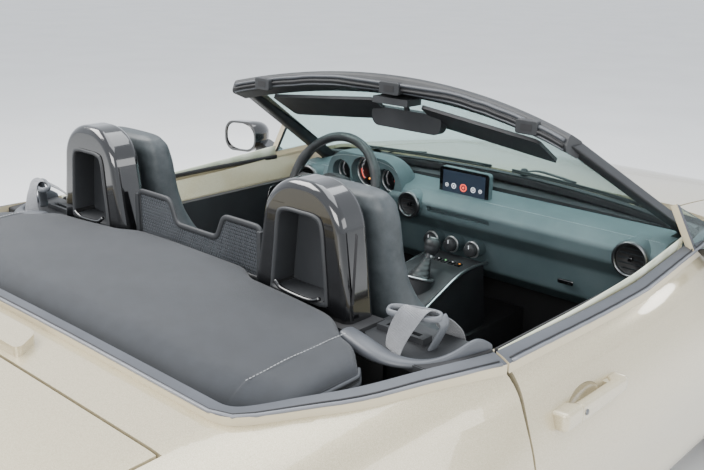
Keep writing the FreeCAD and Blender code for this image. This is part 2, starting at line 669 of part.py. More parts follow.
CARD = size("card_thickness")
card = box(DOOR_REAR + 60, DOOR_FRONT - 44, DOOR_INNER - SEAT - CARD, DOOR_INNER - SEAT, 262, BELT - 79)
pull = side([(194, BELT - 134), (440, BELT - 134), (464, BELT - 92), (214, BELT - 92)], 0, WIDE, 14)
pull = pull.common(box(0, WIDE, DOOR_INNER - CARD - 10, DOOR_INNER - 12, 0, HIGH))
armrest = side([(DOOR_REAR + 200, 560), (DOOR_FRONT - 240, 575), (DOOR_FRONT - 200, 600), (DOOR_REAR + 180, 596)],
               DOOR_INNER - CARD - 42, DOOR_INNER - CARD, 10)
pocket = side([(DOOR_REAR + 160, 290), (DOOR_FRONT - 120, 290), (DOOR_FRONT - 130, 400), (DOOR_REAR + 170, 400)],
              DOOR_INNER - CARD - 30, DOOR_INNER - CARD, 12)
card = fuse([card, armrest, pocket]).cut(pull)
door_belt_line = [(DOOR_FRONT + 60, 738), (350, 760), (0, 778), (DOOR_REAR, 774)]
belt_half = [(x, y) for x, y in door_belt_line] + [(x, y - size("moulding_width"))
                                                   for x, y in reversed(door_belt_line)]
along_door = box(DOOR_REAR, DOOR_FRONT - 14, 0, WIDE, 0, HIGH)
door_belt = RAIL.common(plan(belt_half, LOW + 350, HIGH).common(along_door))
door_trim = Part.makeCompound([card, door_belt])

LEAN = 0.54


def side_glass_point(x, z):
    """A place on the leaning plane of the side glass, which starts at the belt moulding."""
    return Vector(x, 752 - LEAN * (z - BELT), z)


RAIL_TOP = BELT + 11
corners = [(304, RAIL_TOP), (304, RAIL_TOP + 84), (312, RAIL_TOP + 88), (452, RAIL_TOP + 12), (452, RAIL_TOP)]
outward = Vector(0, 1, LEAN).normalize()
glass_corners = [side_glass_point(x, z) for x, z in corners]
quarter_glass = prism([corner - outward * 2.5 for corner in glass_corners], outward * 5)
bar_space = box(270, 320, 600, 900, BELT - 60, BELT + 60)
bar_corners = [side_glass_point(x, z) for x, z in
               [(290, RAIL_TOP - 22), (290, RAIL_TOP + 96), (303.7, RAIL_TOP + 90), (303.7, RAIL_TOP - 22)]]
bar = prism([corner - outward * 9 for corner in bar_corners], outward * 18)
bar = bar.cut([OUTER.common(bar_space), RAIL.common(bar_space)])
door_trim = Part.makeCompound([card, door_belt, max(bar.Solids, key=lambda solid: solid.Volume)])

mirror_place = Vector(300, HALF + 30, BELT + 44)


def mirror_section(x, half_width, half_height):
    at = mirror_place + Vector(x, 0, 0)
    corners = [at + Vector(0, -half_width, -half_height * 0.8), at + Vector(0, half_width, -half_height),
               at + Vector(0, half_width, half_height * 0.8), at + Vector(0, -half_width, half_height)]
    return rounded_wire(corners, [0.42, 0.42, 0.42, 0.42])


housing = loft([mirror_section(-30, 82, 60), mirror_section(10, 80, 58), mirror_section(50, 64, 46),
                mirror_section(76, 34, 24)])
glass_recess = loft([mirror_section(-31, 74, 52), mirror_section(-24, 74, 52)], True)
stalk = front([(768, BELT - 40), (HALF - 10, BELT - 10), (HALF + 20, BELT + 34), (HALF - 30, BELT + 30),
               (762, BELT + 4)], mirror_place.x + 6, mirror_place.x + 60, 8).cut([OUTER, RAISED])
stalk = max(stalk.Solids, key=lambda solid: solid.Volume)
mirror = fuse([housing.cut(glass_recess), stalk])

for word, flip in (("left", lambda shape: shape), ("right", mirrored)):
    keep(f"door_{word}", flip(door))
    keep(f"door_trim_{word}", flip(door_trim))
    keep(f"quarter_glass_{word}", flip(quarter_glass))
    keep(f"mirror_{word}", flip(mirror))

# Floor, sills, wheelhouses, bulkheads and hinge posts in one, trimmed to the inside of the skin
FLOOR = LOW + size("floor_thickness")
FIREWALL = FRONT_AXLE - size("firewall_setback")
TUNNEL_HALF, TUNNEL_TOP = size("tunnel_half_width"), size("tunnel_height")
SHEET = 12
LINER = size("liner_wall")


def wheelhouse(axle_x, inner_half):
    outer_part = arch_cylinder(axle_x, ARCH + 6 + LINER, inner_half)
    shell = outer_part.cut(arch_cylinder(axle_x, ARCH + 6, inner_half + LINER))
    upper = box(axle_x - 400, axle_x + 400, inner_half, HALF, AXLE_Z + 170, HIGH)
    sides = shell.common(box(axle_x - 400, axle_x + 400, inner_half + LINER + 0.1, HALF, LOW + 20, AXLE_Z + 171))
    return fuse([shell.common(upper), sides])


WELL_FLOOR = BELT - 210
BOOT_HALF = size("boot_half_width")
BOOT_WALL_TOP = BOOT_FLOOR + size("boot_wall_height")
WELL_REAR = REAR_AXLE + size("well_rear_setback")
BULKHEAD = REAR_AXLE + 428
SILL_INNER = DOOR_INNER - 10
DAMPER_TOP = AXLE_Z + size("damper_rise")
REAR_RAIL_Z = BOOT_FLOOR - 45
HOOP_BASE = size("hoop_base")
tunnel_space = box(BULKHEAD - 201, WIDE, -TUNNEL_HALF + SHEET, TUNNEL_HALF - SHEET, 0, TUNNEL_TOP - SHEET)
tunnel = box(BULKHEAD, FIREWALL, -TUNNEL_HALF, TUNNEL_HALF, LOW, TUNNEL_TOP)
floor = box(BULKHEAD - SHEET, FIREWALL, -SILL_INNER, SILL_INNER, LOW, FLOOR)
rear_floor = box(BULKHEAD - 200, BULKHEAD, -BOOT_HALF, BOOT_HALF, LOW, FLOOR)
firewall = box(FIREWALL, FIREWALL + SHEET, -SILL_INNER, SILL_INNER, LOW, BELT - 62)
bulkhead = box(BULKHEAD - SHEET, BULKHEAD, -SILL_INNER, SILL_INNER, LOW, WELL_FLOOR + SHEET)
well_floor = box(WELL_REAR - SHEET, BULKHEAD, -BOOT_HALF, BOOT_HALF, WELL_FLOOR, WELL_FLOOR + SHEET)
boot_front = box(WELL_REAR - SHEET, WELL_REAR, -BOOT_HALF, BOOT_HALF, BOOT_FLOOR, WELL_FLOOR + 1)
boot_floor = box(TAIL + 130, WELL_REAR, -BOOT_HALF, BOOT_HALF, BOOT_FLOOR, BOOT_FLOOR + SHEET)
hoop_beam = box(BULKHEAD, BULKHEAD + 94, -520, 520, WELL_FLOOR, HOOP_BASE - SEAT)
hoop_beam = hoop_beam.cut(box(BULKHEAD + 8, BULKHEAD + 86, -512, 512, 0, HOOP_BASE - SEAT - 8))
cross_beam = box(NOSE - 200, NOSE - 150, -470, 470, 290, 380)

trimmed = [wheelhouse(FRONT_AXLE, 470), wheelhouse(REAR_AXLE, BOOT_HALF)]
trimmed.append(box(DOOR_FRONT + GAP, FIREWALL + SHEET, SILL_INNER, HALF, SILL_TOP + SEAT, BELT - 30))
trimmed.append(box(BULKHEAD - SHEET, DOOR_REAR - GAP - 1, SILL_INNER, HALF, SILL_TOP + SEAT, BELT + 40))
trimmed.append(box(WELL_REAR - SHEET, WELL_REAR, 0, 606, WELL_FLOOR, BELT + 60))
trimmed.append(box(BULKHEAD - SHEET, BULKHEAD, BOOT_HALF - 6, SILL_INNER, LOW + 1, WELL_FLOOR + SHEET))
half_backing = BACKING.common(box(TAIL, NOSE, 0, WIDE, LOW, HIGH))
half_tub = [piece.common(half_backing) for piece in trimmed]
half_tub.append(box(BULKHEAD - 90, FIREWALL, 640, SILL_INNER, LOW, SILL_TOP))
half_tub.append(box(FIREWALL, NOSE - 150, 400, 470, 290, 380))
half_tub.append(box(TAIL + 245, WELL_REAR, BOOT_HALF - 6, BOOT_HALF + 6, BOOT_FLOOR, BOOT_WALL_TOP))
half_tub.append(box(TAIL + 130, TAIL + 246, BOOT_HALF - 6, BOOT_HALF + 6, BOOT_FLOOR, WELL_FLOOR - 10))
half_tub.append(box(TAIL + 250, BULKHEAD, BOOT_HALF - 64, BOOT_HALF - 4, REAR_RAIL_Z, BOOT_FLOOR + 5))
half_tub.append(box(FRONT_AXLE - 80, FRONT_AXLE + 80, 400, 600, AXLE_Z + 352, AXLE_Z + 362))
half_tub.append(box(FRONT_AXLE - 26, FRONT_AXLE + 26, 514, 566, DAMPER_TOP + SEAT, AXLE_Z + 356))
half_tub.append(box(REAR_AXLE - 80, REAR_AXLE - 16, 534, 586, DAMPER_TOP + SEAT, AXLE_Z + 356))
half_tub.append(box(FRONT_AXLE - 80, FRONT_AXLE + 80, 400, 412, 380, AXLE_Z + 362))
half_tub += hinge_arms
for side_y in (-15, 9):
    ear = box(FIREWALL, HOOD_HINGE_X + 10, HOOD_HINGE_HALF + side_y, HOOD_HINGE_HALF + side_y + 6,
              BELT - 70, HOOD_HINGE_Z + 8)
    half_tub.append(ear)
    ear = box(LID_PIVOT.x - 12, WELL_REAR, LID_HINGE_HALF + side_y, LID_HINGE_HALF + side_y + 6,
              LID_PIVOT.z - 30, LID_PIVOT.z + 9)
    half_tub.append(ear)
for pin_at in (hinge_point, LID_PIVOT):
    half_tub.append(rod(pin_at - Vector(0, 15, 0), pin_at + Vector(0, 15, 0), PIN - 2))
half_tub = fuse(half_tub)
tub = fuse([floor, rear_floor, tunnel, firewall, bulkhead, well_floor, boot_front, boot_floor, hoop_beam, cross_beam])
tub = fuse([tub.cut(tunnel_space), half_tub, mirrored(half_tub)])
keep("floor_pan", tub)

# Folded roof: the closed stack that fills the well and crowns over it
stack_wires = []
for x, crown in [(BULKHEAD - 2, 26), (REAR_AXLE + 250, 34), (REAR_AXLE + 130, 32), (WELL_REAR + 6, 14)]:
    outline = [(-700, WELL_FLOOR + 120), (700, WELL_FLOOR + 120), (700, BELT + 2), (0, BELT + 26 + crown)]
    outline.append((-700, BELT + 2))
    stack_wires.append(rounded_wire([Vector(x, y, z) for y, z in outline], [0.1, 0.1, 0.2, 0.49, 0.2]))
stack = loft(stack_wires).common(upper_belt_region(size("moulding_width") + 16))
sweep = plan([(BULKHEAD + 20, 440), (BULKHEAD - 2, 470), (BULKHEAD - 52, 569), (BULKHEAD - 60, 720),
              (BULKHEAD + 20, 720)])
stack = stack.cut([sweep, mirrored(sweep)])
below = box(WELL_REAR + 6, BULKHEAD - 2, 10 - BOOT_HALF, BOOT_HALF - 10, WELL_FLOOR + SHEET + SEAT, WELL_FLOOR + 130)
lip = box(BULKHEAD - 10, BULKHEAD + 48, -214, 214, HOOP_BASE, BELT + 46)
keep("folded_roof", fuse([stack, below, lip]))

# Roll hoops: a rounded arch behind each seat, standing on the beam
HOOP_X = FRONT_AXLE - size("hoop_setback")
HOOP_HALF_DEPTH = size("hoop_depth") / 2
HOOP_TOP = size("hoop_top")
SEAT_Y = size("seat_offset")


legs = [(SEAT_Y - 149, HOOP_BASE - 60), (SEAT_Y + 137, HOOP_BASE - 60)]
legs += [(SEAT_Y + 96, HOOP_TOP), (SEAT_Y - 96, HOOP_TOP)]
hoop_wire = rounded_wire([Vector(HOOP_X - HOOP_HALF_DEPTH, y, z) for y, z in legs], [40, 40, 84, 84])
hoop_block = Part.Face(hoop_wire).extrude(Vector(2 * HOOP_HALF_DEPTH, 0, 0))
rims = [edge for edge in hoop_block.Edges if abs(abs(edge.CenterOfMass.x - HOOP_X) - HOOP_HALF_DEPTH) < SEAT]
hoop_block = hoop_block.makeFillet(size("hoop_rounding"), rims)
opening = front([(SEAT_Y - 76, HOOP_BASE + 24), (SEAT_Y + 70, HOOP_BASE + 24), (SEAT_Y + 58, HOOP_TOP - 62),
                 (SEAT_Y - 60, HOOP_TOP - 62)], HOOP_X - 200, HOOP_X + 200, 22)
below_base = box(HOOP_X - 200, HOOP_X + 200, 0, HALF, 0, HOOP_BASE)
keep("roll_hoops", pair(hoop_block.cut([opening, below_base])))

deflector = front([(-218, HOOP_BASE), (218, HOOP_BASE), (218, 998), (90, 998), (66, 943), (-66, 943),
                   (-90, 998), (-218, 998)], HOOP_X - 8, HOOP_X + 4)
mesh_space = front([(-200, HOOP_BASE + 22), (200, HOOP_BASE + 22), (200, 982), (100, 982), (76, 928), (-76, 928),
                    (-100, 982), (-200, 982)], HOOP_X - 3, HOOP_X + 20)
keep("wind_deflector", deflector.cut(mesh_space))

# Cabin trim: the wheelhouse covers behind the doors, each with its belt guide and webbing
cover_outline = [(DOOR_REAR - GAP - 1, 505), (DOOR_REAR - GAP - 1, 780), (-716, 780), (-716, 612), (-668, 524)]
cover_outline.append((-640, 505))
cover = plan(cover_outline, WELL_FLOOR + 40, BELT + 10).common(upper_belt_region(size("moulding_width") + 1))
cover = cover.cut([plan(inset_outline(cover_outline[::-1], 14), 0, BELT - 4),
                   box(BULKHEAD - 40, BULKHEAD + 94 + SEAT, 0, 520 + SEAT, 0, HIGH)])
cover = cover.cut(plan([(-640, 524), (-640, 560), (-700, 620), (-700, 560)], 0, BELT + 2, 8))
cover = max(cover.Solids, key=lambda solid: solid.Volume)
wall_trim = box(BULKHEAD + 96, DOOR_REAR - GAP - 1, 640, 652, SILL_TOP + SEAT, WELL_FLOOR + 40)
guide = box(-640, -612, 530, 640, BELT + 10, BELT + 22).cut(box(-632, -620, 545, 625, 0, HIGH))
webbing = box(-628, -624, 548, 596, FLOOR + 60, BELT + 16)
keep("cabin_trim", pair(fuse([cover, wall_trim, guide, webbing])))

# Seats: cushion, back and head restraint, each a closed profile with rounded edges
def seat(centre_y):
    half = size("seat_width") / 2
    low = FLOOR + 60
    cushion = side([(-390, low), (160, low + 10), (176, low + 110), (120, low + 176), (-300, low + 130)],
                   centre_y - half, centre_y + half, 40)
    back = side([(-410, low + 40), (-296, low + 60), (-440, BELT - 60), (-590, BELT - 40)],
                centre_y - half, centre_y + half, 30)
    shoulders = front([(centre_y - half, 0), (centre_y + half, 0), (centre_y + half, BELT - 190),
                       (centre_y + 140, BELT - 40), (centre_y + 118, HOOP_TOP - 22),
                       (centre_y - 118, HOOP_TOP - 22), (centre_y - 140, BELT - 40),
                       (centre_y - half, BELT - 190)], -700, 300, 40)
    upper = side([(-590, BELT - 160), (-426, BELT - 160), (-506, HOOP_TOP - 22), (-592, HOOP_TOP - 22)],
                 centre_y - half, centre_y + half, 24)
    bolsters = [side([(-330, low + 100), (100, low + 130), (60, low + 206), (-280, low + 190)],
                     centre_y + sign * (half - 45) - 40, centre_y + sign * (half - 45) + 40, 24)
                for sign in (-1, 1)]
    runners = [box(-340, 120, centre_y + sign * 170 - 22, centre_y + sign * 170 + 22, FLOOR + SEAT, low + 30)
               for sign in (-1, 1)]
    return fuse([cushion.common(shoulders), back.common(shoulders), upper.common(shoulders)] + bolsters + runners)


keep("seat_left", seat(SEAT_Y))
keep("seat_right", seat(-SEAT_Y))

# Dashboard: a profile across the cabin, with the cluster hood, centre screen, vents and column
DASH_HALF = size("dash_half_width")
FACE_X = size("dash_face_x")
outline = [(FIREWALL - SEAT, 560), (FIREWALL - SEAT, BELT - 46), (500, BELT - 46), (494, BELT - 16)]
outline += [(FACE_X + 40, BELT - 20), (FACE_X, BELT - 52), (FACE_X + 6, BELT - 96), (FACE_X + 70, BELT - 150)]
outline += [(FACE_X + 92, 600), (FACE_X + 180, 540)]
dash = side(outline, -DASH_HALF, DASH_HALF, 10)
CLUSTER_Y = SEAT_Y
binnacle_wires = []
for x, half, top in [(FACE_X + 14, 176, BELT + 52), (FACE_X + 60, 170, BELT + 56), (FACE_X + 164, 120, BELT - 8)]:
    corners = [Vector(x, CLUSTER_Y - half, BELT - 90), Vector(x, CLUSTER_Y + half, BELT - 90),
               Vector(x, CLUSTER_Y + half * 0.8, top), Vector(x, CLUSTER_Y - half * 0.8, top)]
    binnacle_wires.append(rounded_wire(corners, [0.1, 0.1, 0.45, 0.45]))
binnacle = loft(binnacle_wires)
dial_spaces = [rod(Vector(FACE_X - 40, CLUSTER_Y, BELT - 6), Vector(FACE_X + 90, CLUSTER_Y, BELT - 6), 52)]
dial_spaces += [rod(Vector(FACE_X - 40, CLUSTER_Y + sign * 96, BELT - 18),
                    Vector(FACE_X + 84, CLUSTER_Y + sign * 96, BELT - 18), 40) for sign in (-1, 1)]
screen = front([(-92, BELT - 52), (92, BELT - 52), (92, BELT + 58), (-92, BELT + 58)], FACE_X + 66, FACE_X + 84, 12)
screen_foot = box(FACE_X + 70, FACE_X + 110, -50, 50, BELT - 40, BELT - 10)
VENTS = [(-590, BELT - 66, 50), (590, BELT - 66, 50), (150, BELT - 66, 42)]
vents = []
vent_spaces = []
for y, z, radius in VENTS:
    at = Vector(FACE_X - 14, y, z)
    vents.append(rod(at, at + Vector(90, 0, 0), radius))
    vent_spaces.append(rod(at - Vector(10, 0, 0), at + Vector(26, 0, 0), radius - 9))
slot_vent = front([(-140, BELT - 76), (90, BELT - 76), (90, BELT - 60), (-140, BELT - 60)], FACE_X - 30, FACE_X + 24)
glove_line = front([(-560, 590), (-180, 590), (-180, 594), (-560, 594)], FACE_X + 40, FACE_X + 100)
tilt = math.radians(size("steering_tilt"))
WHEEL_CENTRE = Vector(size("steering_wheel_x"), SEAT_Y, size("steering_wheel_z"))
column_run = Vector(math.cos(tilt), 0, -math.sin(tilt))
shroud = rod(WHEEL_CENTRE + column_run * (62 + SEAT), WHEEL_CENTRE + column_run * 240, 44)
stalks = rod(WHEEL_CENTRE + column_run * 84 - Vector(0, 190, 0), WHEEL_CENTRE + column_run * 84 + Vector(0, 190, 0), 8)
knobs = [rod(Vector(FACE_X + 40, y, BELT - 176), Vector(FACE_X + 100, y, BELT - 176), 26) for y in (-62, 15, 92)]
dash = fuse([dash, binnacle, screen, screen_foot] + vents + [shroud, stalks] + knobs)
pillar_space = box(430, 560, 640, 700, BELT - 46, HIGH)
keep("dashboard", dash.cut(dial_spaces + vent_spaces + [slot_vent, glove_line, pillar_space, mirrored(pillar_space)]))

# Centre console over the tunnel, with the selector and the handbrake
CONSOLE_HALF = size("console_half_width")
outline = [(-560, TUNNEL_TOP + SEAT), (FACE_X + 90, TUNNEL_TOP + SEAT), (FACE_X + 60, 640), (240, 628), (60, 560)]
outline += [(-120, 545), (-180, 585), (-420, 600), (-560, 600)]
console = side(outline, -CONSOLE_HALF, CONSOLE_HALF, 14)
console = console.cut(box(FACE_X + 20, FIREWALL, -WIDE, WIDE, 500, 700).common(side(
    [(FACE_X + 60, BELT - 153), (FACE_X + 90, 599), (FACE_X + 180, 537), (700, 500), (700, 900)], -WIDE, WIDE)))
gear_base = rod(Vector(150, -10, 560), Vector(170, -10, 622), 46)
gear_lever = rod(Vector(164, -10, 600), Vector(222, -8, 690), 9)
gear_knob = Part.makeSphere(24, Vector(228, -8, 700))
brake_lever = rod(Vector(-60, 60, 545), Vector(92, 60, 640), 13)
cup_wells = [rod(Vector(x, 0, 570), Vector(x, 0, 700), 36) for x in (-250, -340)]
keep("console", fuse([console, gear_base, gear_lever, gear_knob, brake_lever]).cut(cup_wells))

# Header fittings: two visors, the mirror and the latch covers under the header
visors = []
for flip in (1, -1):
    inner_end = Vector(HEADER_X + 40, flip * 80, HEADER_Z + 34)
    along = Vector(-26, flip * 380, -34)
    down = Vector(104, 0, -66)
    plate = prism([inner_end, inner_end + along, inner_end + along + down, inner_end + down], Vector(-4, 0, -8), 16)
    visors.append(plate)
mirror_stem = rod(Vector(HEADER_X + 72, 0, HEADER_Z + 40), Vector(HEADER_X + 92, 0, HEADER_Z - 10), 8)
mirror_body = front([(-118, HEADER_Z - 52), (118, HEADER_Z - 52), (124, HEADER_Z + 2), (-124, HEADER_Z + 2)],
                    HEADER_X + 80, HEADER_X + 108, 22)
latch = box(HEADER_X + 10, HEADER_X + 70, -60, 60, HEADER_Z + 26, HEADER_Z + 44).cut(frame_above)
keep("header_fittings", Part.makeCompound(visors + [fuse([mirror_stem, mirror_body, latch])]))

# Steering wheel: a rim, three spokes and a boss on the tilted column, drawn flat and then turned into place
RIM_RADIUS, RIM_THICK = size("steering_wheel_radius"), size("steering_rim_radius")
rim = Part.makeTorus(RIM_RADIUS, RIM_THICK)
boss = Part.makeCylinder(58, 40, Vector(0, 0, -34))
neck_rod = Part.makeCylinder(30, 30, Vector(0, 0, -62))
side_spoke = plan([(-26, 30), (14, 30), (22, RIM_RADIUS - 4), (-10, RIM_RADIUS - 2)], -24, -8)
low_spoke = plan([(-50, -26), (-50, 26), (-RIM_RADIUS + 4, 20), (-RIM_RADIUS + 4, -20)], -24, -10)
wheel = fuse([rim, boss, neck_rod, side_spoke, side_spoke.mirror(Vector(), Vector(0, 1, 0)), low_spoke])
wheel.Placement = FreeCAD.Placement(WHEEL_CENTRE, FreeCAD.Rotation(Vector(0, 1, 0), size("steering_tilt") - 90))
keep("steering_wheel", wheel)

# Engine and gearbox as plain blocks, with the shaft, the final drive and its half shafts
engine_x = FIREWALL + 60
half_width = size("engine_width") / 2
engine = box(engine_x, engine_x + size("engine_length"), -half_width, half_width, 215, 215 + size("engine_height"))
gearbox = loft([polygon([Vector(x, -w, 312 - w), Vector(x, w, 312 - w), Vector(x, w, 312 + w), Vector(x, -w, 312 + w)])
                for x, w in ((engine_x + 1, 92), (FIREWALL + 10, 84), (150, 56))], True)
shaft = rod(Vector(160, 0, 300), Vector(REAR_AXLE + 100, 0, 300), size("shaft_radius"))
final_drive = box(REAR_AXLE - 90, REAR_AXLE + 110, -95, 95, 215, 378)
REAR_HUB_Y = size("rear_track") / 2
half_shafts = rod(Vector(REAR_AXLE, -REAR_HUB_Y + 92, AXLE_Z), Vector(REAR_AXLE, REAR_HUB_Y - 92, AXLE_Z), 15)
engine_mounts = box(engine_x + 240, engine_x + 320, -400 + SEAT, 400 - SEAT, 310, 360)
keep("powertrain", fuse([engine, gearbox, shaft, final_drive, half_shafts, engine_mounts]))

pipe = size("exhaust_pipe_radius")
silencer = Part.makeCylinder(size("silencer_radius"), size("silencer_length"),
                             Vector(SILENCER_X, -size("silencer_length") / 2, SILENCER_Z), Vector(0, 1, 0))
PIPE_Z = LOW + pipe + 4
route = [Vector(engine_x + 290, -180, PIPE_Z), Vector(FIREWALL + 100, -55, PIPE_Z), Vector(BULKHEAD - 225, -55, PIPE_Z),
         Vector(REAR_AXLE + 60, -170, PIPE_Z), Vector(REAR_AXLE - 215, -170, PIPE_Z),
         Vector(SILENCER_X + 20, -170, SILENCER_Z)]
tips = [rod(Vector(SILENCER_X, y, SILENCER_Z), Vector(TAIL + 22, y, SILENCER_Z), TIP_RADIUS) for y in TIPS]
bores = [rod(Vector(SILENCER_X - 180, y, SILENCER_Z), Vector(TAIL, y, SILENCER_Z), TIP_RADIUS - 4) for y in TIPS]
hangers = [box(SILENCER_X - 20, SILENCER_X + 20, y - 20, y + 20, SILENCER_Z, BOOT_FLOOR - SEAT) for y in (-200, 200)]
keep("exhaust", fuse([bent_pipe(route, pipe, 120), silencer] + tips + hangers).cut(bores))


# Suspension: wishbones, damper and spring on each side; the rear one also carries its fixed hub carrier
def link(start, end, radius):
    return fuse([rod(start, end, radius), Part.makeSphere(radius, start), Part.makeSphere(radius, end)])


def corner(axle_x, ball_y, inner_low, inner_high, damper_y, damper_x):
    low_ball, high_ball = Vector(axle_x, ball_y, 196), Vector(axle_x, ball_y, 424)
    pieces = []
    for reach in (-1, 1):
        pieces.append(link(Vector(axle_x + reach * 150, inner_low, 196), low_ball, 13))
        pieces.append(link(Vector(axle_x + reach * 150, inner_high, 424), high_ball, 10))
    damper_foot = Vector(damper_x, damper_y, 196)
    pieces.append(box(axle_x - 80, axle_x + 80, damper_y - 20, damper_y + 20, 188, 204))
    pieces.append(rod(damper_foot, Vector(damper_x, damper_y, DAMPER_TOP), 22))
    spring, low_z, pitch = size("spring_radius"), 450, 36
    profile = [(0, low_z - 8), (spring + 4, low_z - 8), (spring + 4, low_z), (spring - 14, low_z)]
    turns = int((DAMPER_TOP - 16 - low_z) // pitch)
    for turn in range(turns):
        z = low_z + turn * pitch
        profile += [(spring - 14, z + 8), (spring - 2, z + 13), (spring - 2, z + 21), (spring - 14, z + 26)]
    top_z = low_z + turns * pitch + 6
    profile += [(spring - 14, top_z - 6), (spring + 4, top_z - 6), (spring + 4, top_z), (0, top_z)]
    half_section = Part.Face(polygon([damper_foot + Vector(r, 0, z - damper_foot.z) for r, z in profile]))
    pieces.append(half_section.revolve(damper_foot, Vector(0, 0, 1), 360))
    return pieces, low_ball, high_ball


KINGPIN_Y = size("front_track") / 2 - size("kingpin_inset")
RACK_X = FRONT_AXLE + 130
pieces, low_ball, high_ball = corner(FRONT_AXLE, KINGPIN_Y, 400, 484, 540, FRONT_AXLE)
pieces += [rod(low_ball, low_ball + Vector(0, 0, 40), 9), rod(high_ball, high_ball - Vector(0, 0, 36), 9)]
front_side = fuse(pieces)
subframe = box(FRONT_AXLE - 180, FRONT_AXLE + 180, -404, 404, 170, 204)
subframe_posts = [box(FRONT_AXLE + x - 20, FRONT_AXLE + x + 20, sign * 430 - 29, sign * 430 + 29, 180, 290 - SEAT)
                  for x in (-150, 150) for sign in (-1, 1)]
rack = rod(Vector(RACK_X, -360, 228), Vector(RACK_X, 360, 228), 24)
pivot_posts = [box(FRONT_AXLE + x - 12, FRONT_AXLE + x + 12, sign * 440 - 12, sign * 440 + 12, 200, 290 - SEAT)
               for x in (-150, 150) for sign in (-1, 1)]
front_parts = [subframe, rack, front_side, mirrored(front_side)] + subframe_posts + pivot_posts
keep("front_suspension", fuse(front_parts))

REAR_BALL_Y = REAR_HUB_Y - 46
REAR_DAMPER_X = REAR_AXLE - 48
pieces, low_ball, high_ball = corner(REAR_AXLE, REAR_BALL_Y, 340, 530, 560, REAR_DAMPER_X)
carrier = box(REAR_AXLE - 26, REAR_AXLE + 26, REAR_BALL_Y - 12, REAR_BALL_Y + 14, 196, 424)
hub_block = rod(Vector(REAR_AXLE, REAR_BALL_Y - 30, AXLE_Z), Vector(REAR_AXLE, REAR_BALL_Y + 18, AXLE_Z), 52)
SPINDLE = size("spindle_radius")
stub = rod(Vector(REAR_AXLE, REAR_BALL_Y, AXLE_Z), Vector(REAR_AXLE, REAR_HUB_Y + 40, AXLE_Z), SPINDLE)


def caliper(axle_x, track_half):
    """A calliper astride the disc, behind the axle, on its own bracket."""
    block = arch_cylinder(axle_x, 172, track_half - 40, track_half + 30)
    block = block.cut(arch_cylinder(axle_x, 96, track_half - 60, track_half + 60))
    sector_box = box(axle_x - 200, axle_x - 60, track_half - 60, track_half + 60, AXLE_Z - 40, AXLE_Z + 66)
    block = block.common(sector_box)
    disc_space = arch_cylinder(axle_x, size("disc_radius") + 6, track_half - 14, track_half + 18)
    bracket = box(axle_x - 112, axle_x, track_half - 40, track_half - 24, AXLE_Z - 26, AXLE_Z + 40)
    return fuse([block.cut(disc_space), bracket])


shaft_bore = rod(Vector(REAR_AXLE, REAR_BALL_Y - 60, AXLE_Z), Vector(REAR_AXLE, REAR_HUB_Y - 92 + SEAT, AXLE_Z), 15 + SEAT)
rear_side = fuse(pieces + [carrier, hub_block, stub, caliper(REAR_AXLE, REAR_HUB_Y)]).cut(shaft_bore)
rear_frame = [box(REAR_AXLE + x - 22, REAR_AXLE + x + 22, -540, 540, 240, 264) for x in (-170, 170)]
rear_frame += [box(REAR_AXLE - 190, REAR_AXLE + 190, sign * 380 - 22, sign * 380 + 22, 178, 250) for sign in (-1, 1)]
rear_frame += [box(REAR_AXLE + x - 18, REAR_AXLE + x + 18, sign * 466 - 18, sign * 466 + 18, 240, REAR_RAIL_Z - SEAT)
               for x in (-170, 170) for sign in (-1, 1)]
rear_frame += [box(REAR_AXLE + x - 12, REAR_AXLE + x + 12, sign * 530 - 10, sign * 530 + 10, 250, 430)
               for x in (-152, 152) for sign in (-1, 1)]
keep("rear_suspension", fuse(rear_frame + [rear_side, mirrored(rear_side)]))

# Front knuckles: each turns on its two ball joints and carries the spindle, the calliper and the steering arm
FRONT_HUB_Y = size("front_track") / 2
upright = box(FRONT_AXLE - 24, FRONT_AXLE + 24, KINGPIN_Y - 22, KINGPIN_Y + 12, 212, 408)
boss_low = rod(Vector(FRONT_AXLE, KINGPIN_Y, 212), Vector(FRONT_AXLE, KINGPIN_Y, 250), 18)
boss_high = rod(Vector(FRONT_AXLE, KINGPIN_Y, 376), Vector(FRONT_AXLE, KINGPIN_Y, 408), 18)
hub_block = rod(Vector(FRONT_AXLE, KINGPIN_Y - 22, AXLE_Z), Vector(FRONT_AXLE, KINGPIN_Y + 18, AXLE_Z), 52)
stub = rod(Vector(FRONT_AXLE, KINGPIN_Y - 10, AXLE_Z), Vector(FRONT_AXLE, FRONT_HUB_Y + 40, AXLE_Z), SPINDLE)
arm = link(Vector(FRONT_AXLE, KINGPIN_Y - 4, 236), Vector(RACK_X, KINGPIN_Y - 24, 236), 11)
ball_spaces = [rod(Vector(FRONT_AXLE, KINGPIN_Y, 190), Vector(FRONT_AXLE, KINGPIN_Y, 244), 9.05),
               rod(Vector(FRONT_AXLE, KINGPIN_Y, 380), Vector(FRONT_AXLE, KINGPIN_Y, 430), 9.05)]
knuckle = fuse([upright, boss_low, boss_high, hub_block, stub, arm, caliper(FRONT_AXLE, FRONT_HUB_Y)])
knuckle = knuckle.cut(ball_spaces)
keep("knuckle_left", knuckle)
keep("knuckle_right", mirrored(knuckle))


# Wheels: a turned tyre and a turned rim with windows between its spokes
def plane_of(body, role):
    return next(feature for feature in body.Origin.OriginFeatures if feature.Role == role)


